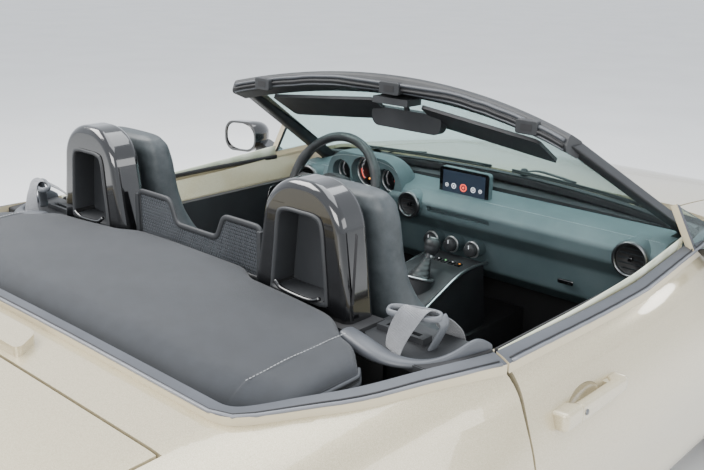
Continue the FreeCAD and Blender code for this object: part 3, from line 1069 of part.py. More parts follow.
def closed_sketch(body, name, role, points):
    """A sketch on an origin plane: a closed outline whose corners are tied to the sheet by expressions."""
    sketch = body.newObject("Sketcher::SketchObject", name)
    sketch.AttachmentSupport = [(plane_of(body, role), "")]
    sketch.MapMode = "FlatFace"
    places = [(body.evalExpression(across), body.evalExpression(up)) for across, up in points]
    for i, place in enumerate(places):
        after = places[(i + 1) % len(places)]
        sketch.addGeometry(Part.LineSegment(Vector(*place, 0), Vector(*after, 0)), False)
    for i in range(len(places)):
        sketch.addConstraint(Sketcher.Constraint("Coincident", i, 2, (i + 1) % len(places), 1))
    for i, (across, up) in enumerate(points):
        for kind, rule, value in (("DistanceX", across, places[i][0]), ("DistanceY", up, places[i][1])):
            number = sketch.addConstraint(Sketcher.Constraint(kind, -1, 1, i, 1, value))
            sketch.setExpression(f"Constraints[{number}]", rule)
    return sketch


def turned(body, name, points):
    """A profile of (radius, place along the wheel's axis), turned about the body's Z axis."""
    sketch = closed_sketch(body, f"{name}_profile", "XZ_Plane", points)
    turn = body.newObject("PartDesign::Revolution", name)
    turn.Profile = sketch
    turn.ReferenceAxis = (sketch, ["V_Axis"])
    turn.Angle = 360
    doc.recompute()
    return turn


RIM, TYRE, MID = "sizes.rim_outer_radius", "sizes.tyre_outer_radius", "sizes.tyre_width / 2"
SIDE_RISE = f"({TYRE} - {RIM})"
BEAD = "(sizes.rim_width / 2 - 7)"
TYRE_HALF = [(f"{RIM} + sizes.seat_gap", BEAD), (f"{RIM} + 9", BEAD), (f"{RIM} + 0.2 * {SIDE_RISE}", f"0.94 * {MID}"),
             (f"{RIM} + 0.48 * {SIDE_RISE}", f"{MID}"), (f"{RIM} + 0.84 * {SIDE_RISE}", f"0.95 * {MID}"),
             (f"{RIM} + 0.96 * {SIDE_RISE}", f"0.84 * {MID}"), (f"{TYRE}", f"0.62 * {MID}")]
TYRE_PROFILE = TYRE_HALF + [(radius, f"-{across}") for radius, across in reversed(TYRE_HALF)]
BARREL, LIP, FACE = f"{RIM} - sizes.rim_barrel_wall", f"{RIM} + 7", "sizes.rim_width / 2"
DISC_IN, DISC_OUT = "-sizes.disc_thickness / 2", "sizes.disc_thickness / 2"
SPINDLE_BORE = "sizes.spindle_radius + 0.05"
RIM_PROFILE = [(SPINDLE_BORE, DISC_IN), ("sizes.disc_radius", DISC_IN), ("sizes.disc_radius", DISC_OUT),
               ("sizes.hub_radius", DISC_OUT), ("sizes.hub_radius", "58 - sizes.spoke_thickness"),
               (f"{BARREL} - 14", "52 - sizes.spoke_thickness"), (BARREL, "46 - sizes.spoke_thickness"),
               (BARREL, f"-{FACE}"), (LIP, f"-{FACE}"), (LIP, f"-{FACE} + 5"), (RIM, f"-{FACE} + 6"),
               (RIM, f"{FACE} - 6"), (LIP, f"{FACE} - 5"), (LIP, FACE), (BARREL, FACE), (BARREL, "66"),
               (f"{BARREL} - 14", "56"), ("sizes.hub_radius + 6", "60"), ("sizes.hub_radius - 8", "54"),
               (SPINDLE_BORE, "54")]
WINDOW = [("sizes.hub_radius + 18", "13"), ("sizes.hub_radius + 18", "-13"), (f"{BARREL} - 22", "-36"),
          (f"{BARREL} - 10", "-24"), (f"{BARREL} - 10", "24"), (f"{BARREL} - 22", "36")]
SPOKE_COUNT = 10


def wheel_placement(axle_x, half_track, sign):
    return FreeCAD.Placement(Vector(axle_x, sign * half_track, AXLE_Z), FreeCAD.Rotation(Vector(1, 0, 0), -90 * sign))


def make_tyre(label, placement):
    body = doc.addObject("PartDesign::Body", label)
    turned(body, f"{label}_turn", TYRE_PROFILE)
    body.Placement = placement
    keep_object(label, body)


def make_rim(label, placement):
    body = doc.addObject("PartDesign::Body", label)
    turned(body, f"{label}_turn", RIM_PROFILE)
    window = closed_sketch(body, f"{label}_window", "XY_Plane", WINDOW)
    window.AttachmentOffset = FreeCAD.Placement(Vector(0, 0, 14), FreeCAD.Rotation())
    pocket = body.newObject("PartDesign::Pocket", f"{label}_pocket")
    pocket.Profile = window
    pocket.Reversed = True
    pocket.Length = 120
    doc.recompute()
    pattern = body.newObject("PartDesign::PolarPattern", f"{label}_spokes")
    pattern.Originals = [pocket]
    pattern.Axis = (plane_of(body, "Z_Axis"), [""])
    pattern.Angle = 360
    pattern.Occurrences = SPOKE_COUNT
    body.Tip = pattern
    body.Placement = placement
    keep_object(label, body)


for word, axle_x, half_track in (("front", FRONT_AXLE, FRONT_HUB_Y), ("rear", REAR_AXLE, REAR_HUB_Y)):
    for hand, sign in (("left", 1), ("right", -1)):
        placement = wheel_placement(axle_x, half_track, sign)
        make_tyre(f"tyre_{word}_{hand}", placement)
        make_rim(f"rim_{word}_{hand}", placement)

# Grille in the bumper's mouth, the radiator behind it, and the high stop lamp on the deck
frame_outer = front(inset_outline(mouth_outline, SEAT), NOSE - 120, NOSE - 24, 25)
frame_inner = front(inset_outline(mouth_outline, 16), NOSE - 130, NOSE + 24, 18)
bars = [box(NOSE - 84, NOSE - 64, -WIDE, WIDE, MOUTH_LOW + rise, MOUTH_LOW + rise + 9) for rise in range(30, 210, 24)]
posts = [box(NOSE - 86, NOSE - 66, y - 4, y + 4, 0, HIGH) for y in range(-400, 401, 100)]
lattice = fuse(bars + posts).common(front(inset_outline(mouth_outline, 14), NOSE - 130, NOSE, 18))
radiator = box(NOSE - 150 + SEAT, NOSE - 119, -330, 330, MOUTH_LOW + 24, MOUTH_HIGH + 20)
keep("grille", fuse([frame_outer.cut(frame_inner), lattice, radiator]))

stop_outline = [(REAR_AXLE + 4, 148), (REAR_AXLE + 4, -148), (LID_FRONT + 18, -190), (LID_FRONT + 18, 190)]
raised_deck = body_loft(-18)
keep("stop_lamp", raised_deck.cut(OUTER).common(plan(stop_outline, LOW + 400, HIGH, 20)))

doc.recompute()
for obj in doc.Objects:
    if "Invalid" in obj.State or "Error" in obj.State:
        raise RuntimeError(f"{obj.Name} failed: {obj.State}")
for node in NODES:
    if node.Shape.isNull() or not node.Shape.isValid():
        raise RuntimeError(f"{node.Label} has no valid shape")
os.makedirs("parts", exist_ok=True)
for node in NODES:
    node.Shape.exportStep(f"parts/{node.Label}.step")
print(len(NODES), "pieces written")
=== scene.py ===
"""The finish of a two-seat convertible car: paint, glass, trim, soft roof, seats, instruments and light.

Everything is in metres in the car's own frame: +X forward, +Y to the left, +Z up, origin on the ground."""
import math

import bpy
import bmesh
from mathutils import Matrix, Vector


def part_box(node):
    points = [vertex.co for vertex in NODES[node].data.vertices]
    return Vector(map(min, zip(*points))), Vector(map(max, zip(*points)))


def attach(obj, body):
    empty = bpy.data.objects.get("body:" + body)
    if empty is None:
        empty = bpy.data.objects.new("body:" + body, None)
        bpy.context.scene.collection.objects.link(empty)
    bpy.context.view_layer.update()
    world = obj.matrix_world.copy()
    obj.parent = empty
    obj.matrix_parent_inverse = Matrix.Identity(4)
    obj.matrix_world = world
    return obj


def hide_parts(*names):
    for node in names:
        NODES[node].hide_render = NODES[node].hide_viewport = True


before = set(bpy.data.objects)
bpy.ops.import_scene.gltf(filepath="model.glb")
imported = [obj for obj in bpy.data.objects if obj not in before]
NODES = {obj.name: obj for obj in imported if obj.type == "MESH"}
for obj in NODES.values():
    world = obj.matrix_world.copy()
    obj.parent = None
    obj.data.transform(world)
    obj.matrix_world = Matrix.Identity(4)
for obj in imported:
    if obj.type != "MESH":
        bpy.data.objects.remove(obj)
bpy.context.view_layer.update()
SCENE = bpy.context.scene
SEAT_Y = 0.365


# Materials
def shader_of(name, colour, rough, **sockets):
    """A new material and its tree, with the even values set on the shader itself."""
    made = bpy.data.materials.new(name)
    made.use_nodes = True
    tree = made.node_tree
    shader = tree.nodes["Principled BSDF"]
    shader.inputs["Base Color"].default_value = (*colour, 1)
    shader.inputs["Roughness"].default_value = rough
    for key, value in sockets.items():
        shader.inputs[key.replace("_", " ")].default_value = value
    return made, tree, shader


def add(tree, kind, inputs=(), **settings):
    """One node, its inputs given as (name or number, value or socket)."""
    node = tree.nodes.new("ShaderNode" + kind)
    for key, value in settings.items():
        setattr(node, key, value)
    for key, value in inputs:
        if isinstance(value, bpy.types.NodeSocket):
            tree.links.new(value, node.inputs[key])
        else:
            node.inputs[key].default_value = value
    return node


def place(tree, scale=(1, 1, 1), turn=(0, 0, 0)):
    """The piece's own coordinates, scaled and turned for a pattern."""
    where = add(tree, "TexCoord")
    return add(tree, "Mapping", [("Vector", where.outputs["Object"]), ("Scale", scale),
                                 ("Rotation", turn)]).outputs[0]


def ramp(tree, factor, stops):
    node = add(tree, "ValToRGB", [("Fac", factor)])
    for i, (at, colour) in enumerate(stops):
        stop = node.color_ramp.elements[i] if i < 2 else node.color_ramp.elements.new(at)
        stop.position = at
        stop.color = (*colour, 1)
    return node.outputs["Color"]


def bump(tree, shader, height, strength, distance):
    made = add(tree, "Bump", [("Height", height), ("Strength", strength), ("Distance", distance)])
    tree.links.new(made.outputs["Normal"], shader.inputs["Normal"])


def noise(tree, scale, detail=3.0, rough=0.5, stretch=(1, 1, 1)):
    return add(tree, "TexNoise", [("Vector", place(tree, stretch)), ("Scale", scale), ("Detail", detail),
                                  ("Roughness", rough)]).outputs["Fac"]


def worn_gloss(tree, shader, low, high, scale=9.0):
    """Roughness that drifts a little, as on a wiped surface."""
    drift = add(tree, "MapRange", [("Value", noise(tree, scale)), ("To Min", low), ("To Max", high)])
    tree.links.new(drift.outputs["Result"], shader.inputs["Roughness"])


def car_paint(name, base, light):
    """Metallic paint under clear coat: fine flakes, and a slight orange peel in the coat."""
    made, tree, shader = shader_of(name, base, 0.34, Metallic=0.32, Coat_Weight=1.0, Coat_Roughness=0.02,
                                   Coat_IOR=1.55)
    flakes = add(tree, "TexVoronoi", [("Vector", place(tree)), ("Scale", 1500.0)]).outputs["Color"]
    grey = add(tree, "RGBToBW", [("Color", flakes)]).outputs[0]
    mixed = ramp(tree, grey, [(0.25, base), (0.8, light)])
    tree.links.new(mixed, shader.inputs["Base Color"])
    peel = noise(tree, 260.0, 1.0)
    made_bump = add(tree, "Bump", [("Height", peel), ("Strength", 0.03), ("Distance", 0.0004)])
    tree.links.new(made_bump.outputs["Normal"], shader.inputs["Coat Normal"])
    return made


def moulded(name, dark, light, rough, grain=420.0, depth=0.0003, gloss=(0.0, 0.0)):
    """Moulded plastic skin with a pebbled grain and slight wear in its tone."""
    made, tree, shader = shader_of(name, dark, rough)
    pebbles = add(tree, "TexVoronoi", [("Vector", place(tree)), ("Scale", grain)],
                  feature="SMOOTH_F1").outputs["Distance"]
    bump(tree, shader, pebbles, 0.5, depth)
    tone = ramp(tree, noise(tree, 6.0, 4.0, 0.6), [(0.3, dark), (0.75, light)])
    tree.links.new(tone, shader.inputs["Base Color"])
    worn_gloss(tree, shader, rough - 0.06 - gloss[0], rough + 0.08 + gloss[1])
    return made


def gloss_lacquer(name, colour):
    """Piano-black lacquer with the faintest wiping marks."""
    made, tree, shader = shader_of(name, colour, 0.12, Coat_Weight=1.0, Coat_Roughness=0.03)
    worn_gloss(tree, shader, 0.08, 0.2, 14.0)
    bump(tree, shader, noise(tree, 700.0, 2.0, 0.7), 0.02, 0.0002)
    return made


def woven(name, warp, weft, pitch, rough, sheen=0.35, turn=(0, 0, 0), depth=0.0005):
    """Cloth: two sets of crossed threads, with lint and a soft sheen."""
    made, tree, shader = shader_of(name, warp, rough, Sheen_Weight=sheen, Sheen_Roughness=0.5)
    waves = []
    for direction, axes in (("X", (1, 1, 1)), ("Y", (1, 1, 1))):
        at = place(tree, axes, turn)
        wave = add(tree, "TexWave", [("Vector", at), ("Scale", 1 / pitch), ("Distortion", 0.6),
                                     ("Detail", 1.0), ("Detail Scale", 2.0)], bands_direction=direction)
        waves.append(wave.outputs["Fac"])
    crossed = add(tree, "Math", [(0, waves[0]), (1, waves[1])], operation="MULTIPLY").outputs[0]
    lint = noise(tree, 34.0, 6.0, 0.65)
    height = add(tree, "Math", [(0, crossed), (1, lint)], operation="ADD").outputs[0]
    bump(tree, shader, height, 0.55, depth)
    threads = ramp(tree, crossed, [(0.1, warp), (0.9, weft)])
    spots = ramp(tree, lint, [(0.35, (0.82, 0.82, 0.82)), (0.7, (1.12, 1.12, 1.12))])
    toned = add(tree, "Mix", [("Factor", 1.0), (6, threads), (7, spots)], data_type="RGBA",
                blend_type="MULTIPLY")
    tree.links.new(toned.outputs[2], shader.inputs["Base Color"])
    return made


def hide(name, dark, light, rough, scale=330.0, depth=0.0005):
    """Leather: fine cells with creases between them."""
    made, tree, shader = shader_of(name, dark, rough, Specular_IOR_Level=0.45)
    cells = add(tree, "TexVoronoi", [("Vector", place(tree)), ("Scale", scale)],
                feature="DISTANCE_TO_EDGE").outputs[0]
    creases = noise(tree, 40.0, 5.0, 0.6)
    both = add(tree, "Math", [(0, cells), (1, creases)], operation="ADD").outputs[0]
    bump(tree, shader, both, 0.4, depth)
    tree.links.new(ramp(tree, creases, [(0.3, dark), (0.72, light)]), shader.inputs["Base Color"])
    worn_gloss(tree, shader, rough - 0.07, rough + 0.09, 20.0)
    return made


def metal(name, colour, rough, stretch=(1, 1, 1), scale=120.0, strength=0.12):
    """Metal with a fine directional or cast surface."""
    made, tree, shader = shader_of(name, colour, rough, Metallic=1.0)
    marks = noise(tree, scale, 6.0, 0.7, stretch)
    bump(tree, shader, marks, strength, 0.0004)
    worn_gloss(tree, shader, rough * 0.8, min(1.0, rough * 1.3), 30.0)
    return made


def clear_pane(name, tint, rough=0.0):
    """Glass for a thin pane: it tints what is behind it without bending it."""
    made, tree, shader = shader_of(name, tint, rough, Transmission_Weight=1.0, IOR=1.05, Coat_Weight=0.6,
                                   Coat_Roughness=0.01)
    smear = ramp(tree, noise(tree, 3.0, 3.0), [(0.3, tint), (0.8, tuple(min(1, c * 1.03) for c in tint))])
    tree.links.new(smear, shader.inputs["Base Color"])
    return made


def glowing(name, colour, strength):
    made, _, shader = shader_of(name, tuple(c * 0.3 for c in colour), 0.4)
    shader.inputs["Emission Color"].default_value = (*colour, 1)
    shader.inputs["Emission Strength"].default_value = strength
    return made


def lens(name, deep, pale):
    """Moulded lamp lens, ribbed upright inside."""
    made, tree, shader = shader_of(name, deep, 0.08, Coat_Weight=1.0, Coat_Roughness=0.02)
    ribs = add(tree, "TexWave", [("Vector", place(tree)), ("Scale", 70.0)],
               bands_direction="Y").outputs["Fac"]
    tree.links.new(ramp(tree, ribs, [(0.2, deep), (0.9, pale)]), shader.inputs["Base Color"])
    bump(tree, shader, ribs, 0.25, 0.0008)
    return made


PAINT = car_paint("sand_paint", (0.42, 0.36, 0.235), (0.60, 0.53, 0.37))
BLACK_TRIM = moulded("black_grained_trim", (0.014, 0.015, 0.017), (0.028, 0.030, 0.033), 0.55)
CARD_BLACK = moulded("door_card_black", (0.010, 0.011, 0.013), (0.020, 0.022, 0.025), 0.6, 300.0)
DASH_SKIN = moulded("dash_skin", (0.055, 0.085, 0.093), (0.085, 0.120, 0.128), 0.52, 520.0)
DASH_LOW = moulded("lower_dash_black", (0.026, 0.034, 0.038), (0.045, 0.056, 0.062), 0.5, 480.0)
# Pale grey for the moulding's rolled outer edge: a painted highlight on the dark rubber.
RAIL_EDGE_HIGHLIGHT = moulded("belt_rubber_edge_painted_highlight", (0.13, 0.135, 0.15), (0.17, 0.175, 0.19), 0.35, 900.0, 0.0001)
SHOULDER_GREY = moulded("quarter_shoulder_grey", (0.050, 0.054, 0.062), (0.075, 0.081, 0.092), 0.4, 700.0,
                        0.0001)
GUIDE_GREY = moulded("belt_guide_grey", (0.085, 0.092, 0.102), (0.12, 0.128, 0.14), 0.42, 700.0, 0.0001)
SEAL = moulded("seal_rubber", (0.008, 0.008, 0.009), (0.018, 0.018, 0.020), 0.62, 900.0, 0.0002)
HEADER_SEAL = moulded("header_seal", (0.040, 0.044, 0.051), (0.062, 0.067, 0.076), 0.42, 900.0, 0.0001)
NET_THREAD = moulded("deflector_net", (0.055, 0.060, 0.068), (0.085, 0.092, 0.102), 0.5, 900.0, 0.0001)
PIANO = gloss_lacquer("piano_black", (0.0035, 0.0035, 0.004))
ROOF_CLOTH = woven("roof_canvas", (0.013, 0.0155, 0.020), (0.031, 0.036, 0.044), 0.0042, 0.86, 0.12)
ROOF_EDGE = hide("roof_edge_vinyl", (0.018, 0.020, 0.025), (0.036, 0.040, 0.047), 0.5)
SEAT_CLOTH = woven("seat_centre_cloth", (0.020, 0.023, 0.026), (0.046, 0.052, 0.056), 0.0036, 0.8, 0.3)
SEAT_HIDE = hide("seat_side_leather", (0.030, 0.037, 0.041), (0.056, 0.066, 0.071), 0.48)
GRIP_HIDE = hide("wheel_rim_leather", (0.012, 0.013, 0.014), (0.030, 0.032, 0.034), 0.42, 520.0, 0.0003)
THREAD = woven("pale_thread", (0.30, 0.31, 0.32), (0.48, 0.49, 0.50), 0.0008, 0.7, 0.4, depth=0.0001)
WEBBING = woven("belt_webbing", (0.10, 0.105, 0.115), (0.20, 0.205, 0.22), 0.0016, 0.6, 0.5)
SATIN_SILVER = metal("satin_silver", (0.52, 0.54, 0.55), 0.3, (1, 1, 1), 500.0, 0.05)
DARK_SATIN = metal("dark_satin", (0.14, 0.145, 0.15), 0.3, (1, 1, 1), 500.0, 0.05)
BRIGHT = metal("bright_chrome", (0.80, 0.81, 0.82), 0.06, (1, 1, 1), 90.0, 0.01)
ALLOY = metal("painted_alloy", (0.45, 0.46, 0.48), 0.28, (1, 1, 1), 300.0, 0.06)
STEEL = metal("pipe_steel", (0.42, 0.40, 0.37), 0.34, (1, 8, 1), 60.0, 0.1)
CAST = metal("cast_alloy", (0.28, 0.28, 0.29), 0.62, (1, 1, 1), 240.0, 0.5)
CHASSIS = moulded("chassis_black", (0.012, 0.012, 0.013), (0.030, 0.028, 0.026), 0.5, 90.0, 0.0008)
DISC_STEEL = metal("brake_disc_steel", (0.36, 0.35, 0.34), 0.3, (1, 1, 1), 700.0, 0.1)
PANE = clear_pane("screen_pane", (0.70, 0.90, 0.87))
LAMP_PANE = clear_pane("lamp_pane", (0.93, 0.96, 0.97))
RED_LENS = lens("red_lens", (0.20, 0.004, 0.006), (0.42, 0.012, 0.014))
AMBER_LENS = lens("amber_lens", (0.55, 0.20, 0.02), (0.80, 0.36, 0.05))
MIRROR_SILVER = metal("mirror_silver", (0.92, 0.93, 0.94), 0.015, (1, 1, 1), 5.0, 0.0)
DIAL_BLACK = moulded("dial_black", (0.004, 0.004, 0.005), (0.008, 0.008, 0.009), 0.5, 1500.0, 0.00005)
# The lowered side glass's top edge, opaque pale yellow-green: partly the glass's own edge tint, partly a
# painted reflection of the sand paint.
GLASS_EDGE_AND_REFLECTION = lens("side_glass_edge_painted_reflection", (0.50, 0.53, 0.40), (0.62, 0.64, 0.52))
GLOW_WHITE = glowing("dial_white", (0.85, 0.88, 0.92), 1.2)
GLOW_RED = glowing("needle_red", (0.95, 0.10, 0.06), 2.0)
GLOW_AMBER = glowing("telltale_amber", (1.0, 0.36, 0.04), 3.0)
GLOW_GREEN = glowing("telltale_green", (0.25, 0.9, 0.3), 2.0)
SCREEN_BLUE = glowing("screen_field", (0.030, 0.045, 0.075), 0.5)


def tyre_rubber():
    made, tree, shader = shader_of("tyre_rubber", (0.012, 0.012, 0.013), 0.75)
    bump(tree, shader, noise(tree, 90.0, 5.0, 0.7), 0.25, 0.0008)
    tree.links.new(ramp(tree, noise(tree, 11.0, 4.0), [(0.3, (0.010, 0.010, 0.011)),
                                                       (0.8, (0.030, 0.029, 0.027))]),
                   shader.inputs["Base Color"])
    return made


RUBBER = tyre_rubber()


# Building a piece
def finish_piece(mesh, name, body, materials, smooth=True):
    """Puts a finished mesh in the scene on its body, faces outward, with its materials."""
    piece = bpy.data.objects.new(name, mesh)
    SCENE.collection.objects.link(piece)
    for made in materials if isinstance(materials, (list, tuple)) else [materials]:
        piece.data.materials.append(made)
    if smooth:
        for face in piece.data.polygons:
            face.use_smooth = True
    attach(piece, body)
    return piece


def mesh_from(bm, name, merge=1e-5, outward=True):
    if merge:
        bmesh.ops.remove_doubles(bm, verts=bm.verts, dist=merge)
    if outward:
        bmesh.ops.recalc_face_normals(bm, faces=bm.faces)
    mesh = bpy.data.meshes.new(name)
    bm.to_mesh(mesh)
    bm.free()
    return mesh


def plain_mesh(piece):
    """The piece with its modifiers applied, as a plain mesh; the working object goes."""
    graph = bpy.context.evaluated_depsgraph_get()
    graph.update()
    mesh = bpy.data.meshes.new_from_object(piece.evaluated_get(graph))
    old = piece.data
    bpy.data.objects.remove(piece)
    if isinstance(old, bpy.types.Mesh) and not old.users:
        bpy.data.meshes.remove(old)
    return mesh


def modified(mesh, steps):
    """A mesh put through modifiers, given as (type, settings)."""
    worker = bpy.data.objects.new("worker", mesh)
    SCENE.collection.objects.link(worker)
    for kind, settings in steps:
        step = worker.modifiers.new(kind.lower(), kind)
        for key, value in settings.items():
            setattr(step, key, value)
    return plain_mesh(worker)


def skin_loops(loops, name, closed_ring=True, caps=True):
    """A surface through rings of equal length, each ring a list of points."""
    bm = bmesh.new()
    rows = [[bm.verts.new(point) for point in loop] for loop in loops]
    count = len(loops[0])
    for a, b in zip(rows, rows[1:]):
        for i in range(count if closed_ring else count - 1):
            k = (i + 1) % count
            bm.faces.new((a[i], a[k], b[k], b[i]))
    if caps and closed_ring:
        bm.faces.new(rows[0][::-1])
        bm.faces.new(rows[-1])
    return mesh_from(bm, name)


def smooth_line(points, steps=8, closed=False):
    """Points on a smooth curve through the given ones."""
    points = [Vector(p) for p in points]
    count = len(points)
    out = []
    spans = count if closed else count - 1
    for i in range(spans):
        if closed:
            a, b, c, d = (points[(i + k - 1) % count] for k in range(4))
        else:
            a, b, c, d = points[max(i - 1, 0)], points[i], points[i + 1], points[min(i + 2, count - 1)]
        for k in range(steps):
            t = k / steps
            out.append(0.5 * ((2 * b) + (c - a) * t + (2 * a - 5 * b + 4 * c - d) * t * t
                              + (3 * b - a - 3 * c + d) * t ** 3))
    if not closed:
        out.append(points[-1])
    return out


def frames_along(line, up=Vector((0, 0, 1)), closed=False):
    """For each point of a line its tangent, a side direction and an upward direction."""
    out = []
    line = [Vector(point) for point in line]
    count = len(line)
    for i, point in enumerate(line):
        before = line[i - 1] if closed or i else line[0]
        after = line[(i + 1) % count] if closed or i < count - 1 else line[-1]
        along = (after - before).normalized()
        across = along.cross(up)
        across = across.normalized() if across.length > 1e-6 else Vector((0, 1, 0))
        out.append((point, along, across, across.cross(along).normalized()))
    return out


def sweep(line, section, name, closed=False, up=Vector((0, 0, 1))):
    """A section of (across, up) points carried along a line."""
    loops = [[point + across * a + over * b for a, b in section] for point, _, across, over in
             frames_along(line, up, closed)]
    if closed:
        loops.append(loops[0])
    return skin_loops(loops, name, caps=not closed)


def ring_section(radius, count=10, squeeze=1.0):
    return [(radius * math.cos(math.tau * i / count), squeeze * radius * math.sin(math.tau * i / count))
            for i in range(count)]


def turned(profile, centre, axis, name, steps=48):
    """A profile of (radius, along the axis) turned about an axis."""
    axis = Vector(axis).normalized()
    side = axis.orthogonal().normalized()
    other = axis.cross(side)
    loops = []
    for radius, along in profile:
        at = Vector(centre) + axis * along
        ways = [side * math.cos(math.tau * i / steps) + other * math.sin(math.tau * i / steps)
                for i in range(steps)]
        loops.append([at + way * radius for way in ways])
    return skin_loops(loops, name, caps=profile[0] != profile[-1])


def join(meshes, name):
    bm = bmesh.new()
    for mesh in meshes:
        bm.from_mesh(mesh)
        bpy.data.meshes.remove(mesh)
    made = bpy.data.meshes.new(name)
    bm.to_mesh(made)
    bm.free()
    return made


def outline_slab(points, low, high, name, bevel=0.0, axes="xy", steps=2):
    """A slab with a given outline, pushed along the third axis, its edges rounded."""
    def lift(a, b, c):
        return {"xy": (a, b, c), "xz": (a, c, b), "yz": (c, a, b)}[axes]
    bm = bmesh.new()
    bottom = [bm.verts.new(lift(a, b, low)) for a, b in points]
    top = [bm.verts.new(lift(a, b, high)) for a, b in points]
    bm.faces.new(bottom[::-1])
    bm.faces.new(top)
    for i in range(len(points)):
        k = (i + 1) % len(points)
        bm.faces.new((bottom[i], bottom[k], top[k], top[i]))
    bmesh.ops.recalc_face_normals(bm, faces=bm.faces)
    if bevel:
        bmesh.ops.bevel(bm, geom=list(bm.edges), offset=bevel, segments=steps, affect="EDGES", profile=0.5)
    return mesh_from(bm, name)


# Repeats: one small thing set on every point of a carrier mesh
def repeat_tree(name, size_input, default, make_item, material):
    """A node tree that sets one item on each point, turned by the carrier's own face direction."""
    tree = bpy.data.node_groups.new(name, "GeometryNodeTree")
    tree.interface.new_socket("Carrier", in_out="INPUT", socket_type="NodeSocketGeometry")
    tree.interface.new_socket(size_input, in_out="INPUT",
                              socket_type="NodeSocketFloat").default_value = default
    tree.interface.new_socket("Result", in_out="OUTPUT", socket_type="NodeSocketGeometry")
    links = tree.links
    source = tree.nodes.new("NodeGroupInput")
    out = tree.nodes.new("NodeGroupOutput")
    item = make_item(tree, source.outputs[size_input])
    spread = tree.nodes.new("GeometryNodeInstanceOnPoints")
    along = tree.nodes.new("GeometryNodeInputNamedAttribute")
    along.data_type = "FLOAT_VECTOR"
    along.inputs["Name"].default_value = "along"
    facing = tree.nodes.new("GeometryNodeInputNamedAttribute")
    facing.data_type = "FLOAT_VECTOR"
    facing.inputs["Name"].default_value = "facing"
    turn = tree.nodes.new("FunctionNodeAlignRotationToVector")
    turn.axis = "X"
    links.new(along.outputs["Attribute"], turn.inputs["Vector"])
    second = tree.nodes.new("FunctionNodeAlignRotationToVector")
    second.axis = "Z"
    second.pivot_axis = "X"
    links.new(turn.outputs["Rotation"], second.inputs["Rotation"])
    links.new(facing.outputs["Attribute"], second.inputs["Vector"])
    links.new(source.outputs["Carrier"], spread.inputs["Points"])
    links.new(item, spread.inputs["Instance"])
    links.new(second.outputs["Rotation"], spread.inputs["Rotation"])
    solid = tree.nodes.new("GeometryNodeRealizeInstances")
    links.new(spread.outputs["Instances"], solid.inputs["Geometry"])
    painted = tree.nodes.new("GeometryNodeSetMaterial")
    painted.inputs["Material"].default_value = material
    links.new(solid.outputs["Geometry"], painted.inputs["Geometry"])
    links.new(painted.outputs["Geometry"], out.inputs["Result"])
    return tree


def box_item(proportions):
    """An item maker: a box with these shares of the named size."""
    def make(tree, size):
        cube = tree.nodes.new("GeometryNodeMeshCube")
        scale = tree.nodes.new("ShaderNodeVectorMath")
        scale.operation = "SCALE"
        scale.inputs[0].default_value = proportions
        tree.links.new(size, scale.inputs["Scale"])
        tree.links.new(scale.outputs["Vector"], cube.inputs["Size"])
        return cube.outputs["Mesh"]
    return make


def rod_item(sides, share, length):
    """An item maker: a short round bar along X, its radius and length as shares of the named size."""
    def make(tree, size):
        rod = tree.nodes.new("GeometryNodeMeshCylinder")
        rod.inputs["Vertices"].default_value = sides
        for key, value in (("Radius", share), ("Depth", length)):
            part = tree.nodes.new("ShaderNodeMath")
            part.operation = "MULTIPLY"
            part.inputs[1].default_value = value
            tree.links.new(size, part.inputs[0])
            tree.links.new(part.outputs[0], rod.inputs[key])
        lay = tree.nodes.new("GeometryNodeTransform")
        lay.inputs["Rotation"].default_value = (0, math.pi / 2, 0)
        tree.links.new(rod.outputs["Mesh"], lay.inputs["Geometry"])
        return lay.outputs["Geometry"]
    return make


def repeated(points, tree, size, name, body, material, smooth=False):
    """One mesh of the tree's item at each (point, along, facing)."""
    mesh = bpy.data.meshes.new(name + "_carrier")
    mesh.from_pydata([p for p, _, _ in points], [], [])
    for key, index in (("along", 1), ("facing", 2)):
        layer = mesh.attributes.new(key, "FLOAT_VECTOR", "POINT")
        layer.data.foreach_set("vector", [c for entry in points for c in entry[index]])
    carrier = bpy.data.objects.new(name + "_carrier", mesh)
    SCENE.collection.objects.link(carrier)
    step = carrier.modifiers.new("repeat", "NODES")
    step.node_group = tree
    named = {item.name: item.identifier for item in tree.interface.items_tree if item.in_out == "INPUT"}
    size_name = next(key for key in named if key != "Carrier")
    step[named[size_name]] = size
    made = plain_mesh(carrier)
    made.materials.clear()
    return finish_piece(made, name, body, material, smooth)


STITCH = repeat_tree("stitches", "stitch length", 0.005, rod_item(6, 0.13, 0.72), THREAD)
SLAT = repeat_tree("slats", "slat length", 0.05, box_item((1.0, 0.035, 0.16)), DASH_LOW)
TICK = repeat_tree("dial_ticks", "tick length", 0.006, box_item((1.0, 0.18, 0.1)), GLOW_WHITE)
BOLT = repeat_tree("bolt_heads", "head width", 0.008, rod_item(6, 0.5, 0.5), STEEL)
BLOCK = repeat_tree("tread_blocks", "block width", 0.018, box_item((1.0, 1.35, 0.42)), RUBBER)
WIRE = repeat_tree("mesh_wires", "cell", 0.008, box_item((1.0, 0.26, 0.22)), NET_THREAD)


def stitch_line(line, name, body, length=0.0048, facing=(0, 0, 1), lift=0.0004):
    """Separate stitches along a line that lies on a surface."""
    line = [Vector(p) for p in line]
    points = []
    travelled, due = 0.0, 0.0
    for a, b in zip(line, line[1:]):
        run = (b - a).length
        while run and due <= travelled + run:
            points.append((a.lerp(b, (due - travelled) / run) + Vector(facing) * lift, (b - a) / run,
                           facing))
            due += length * 1.25
        travelled += run
    return repeated(points, STITCH, length, name, body, THREAD, True)


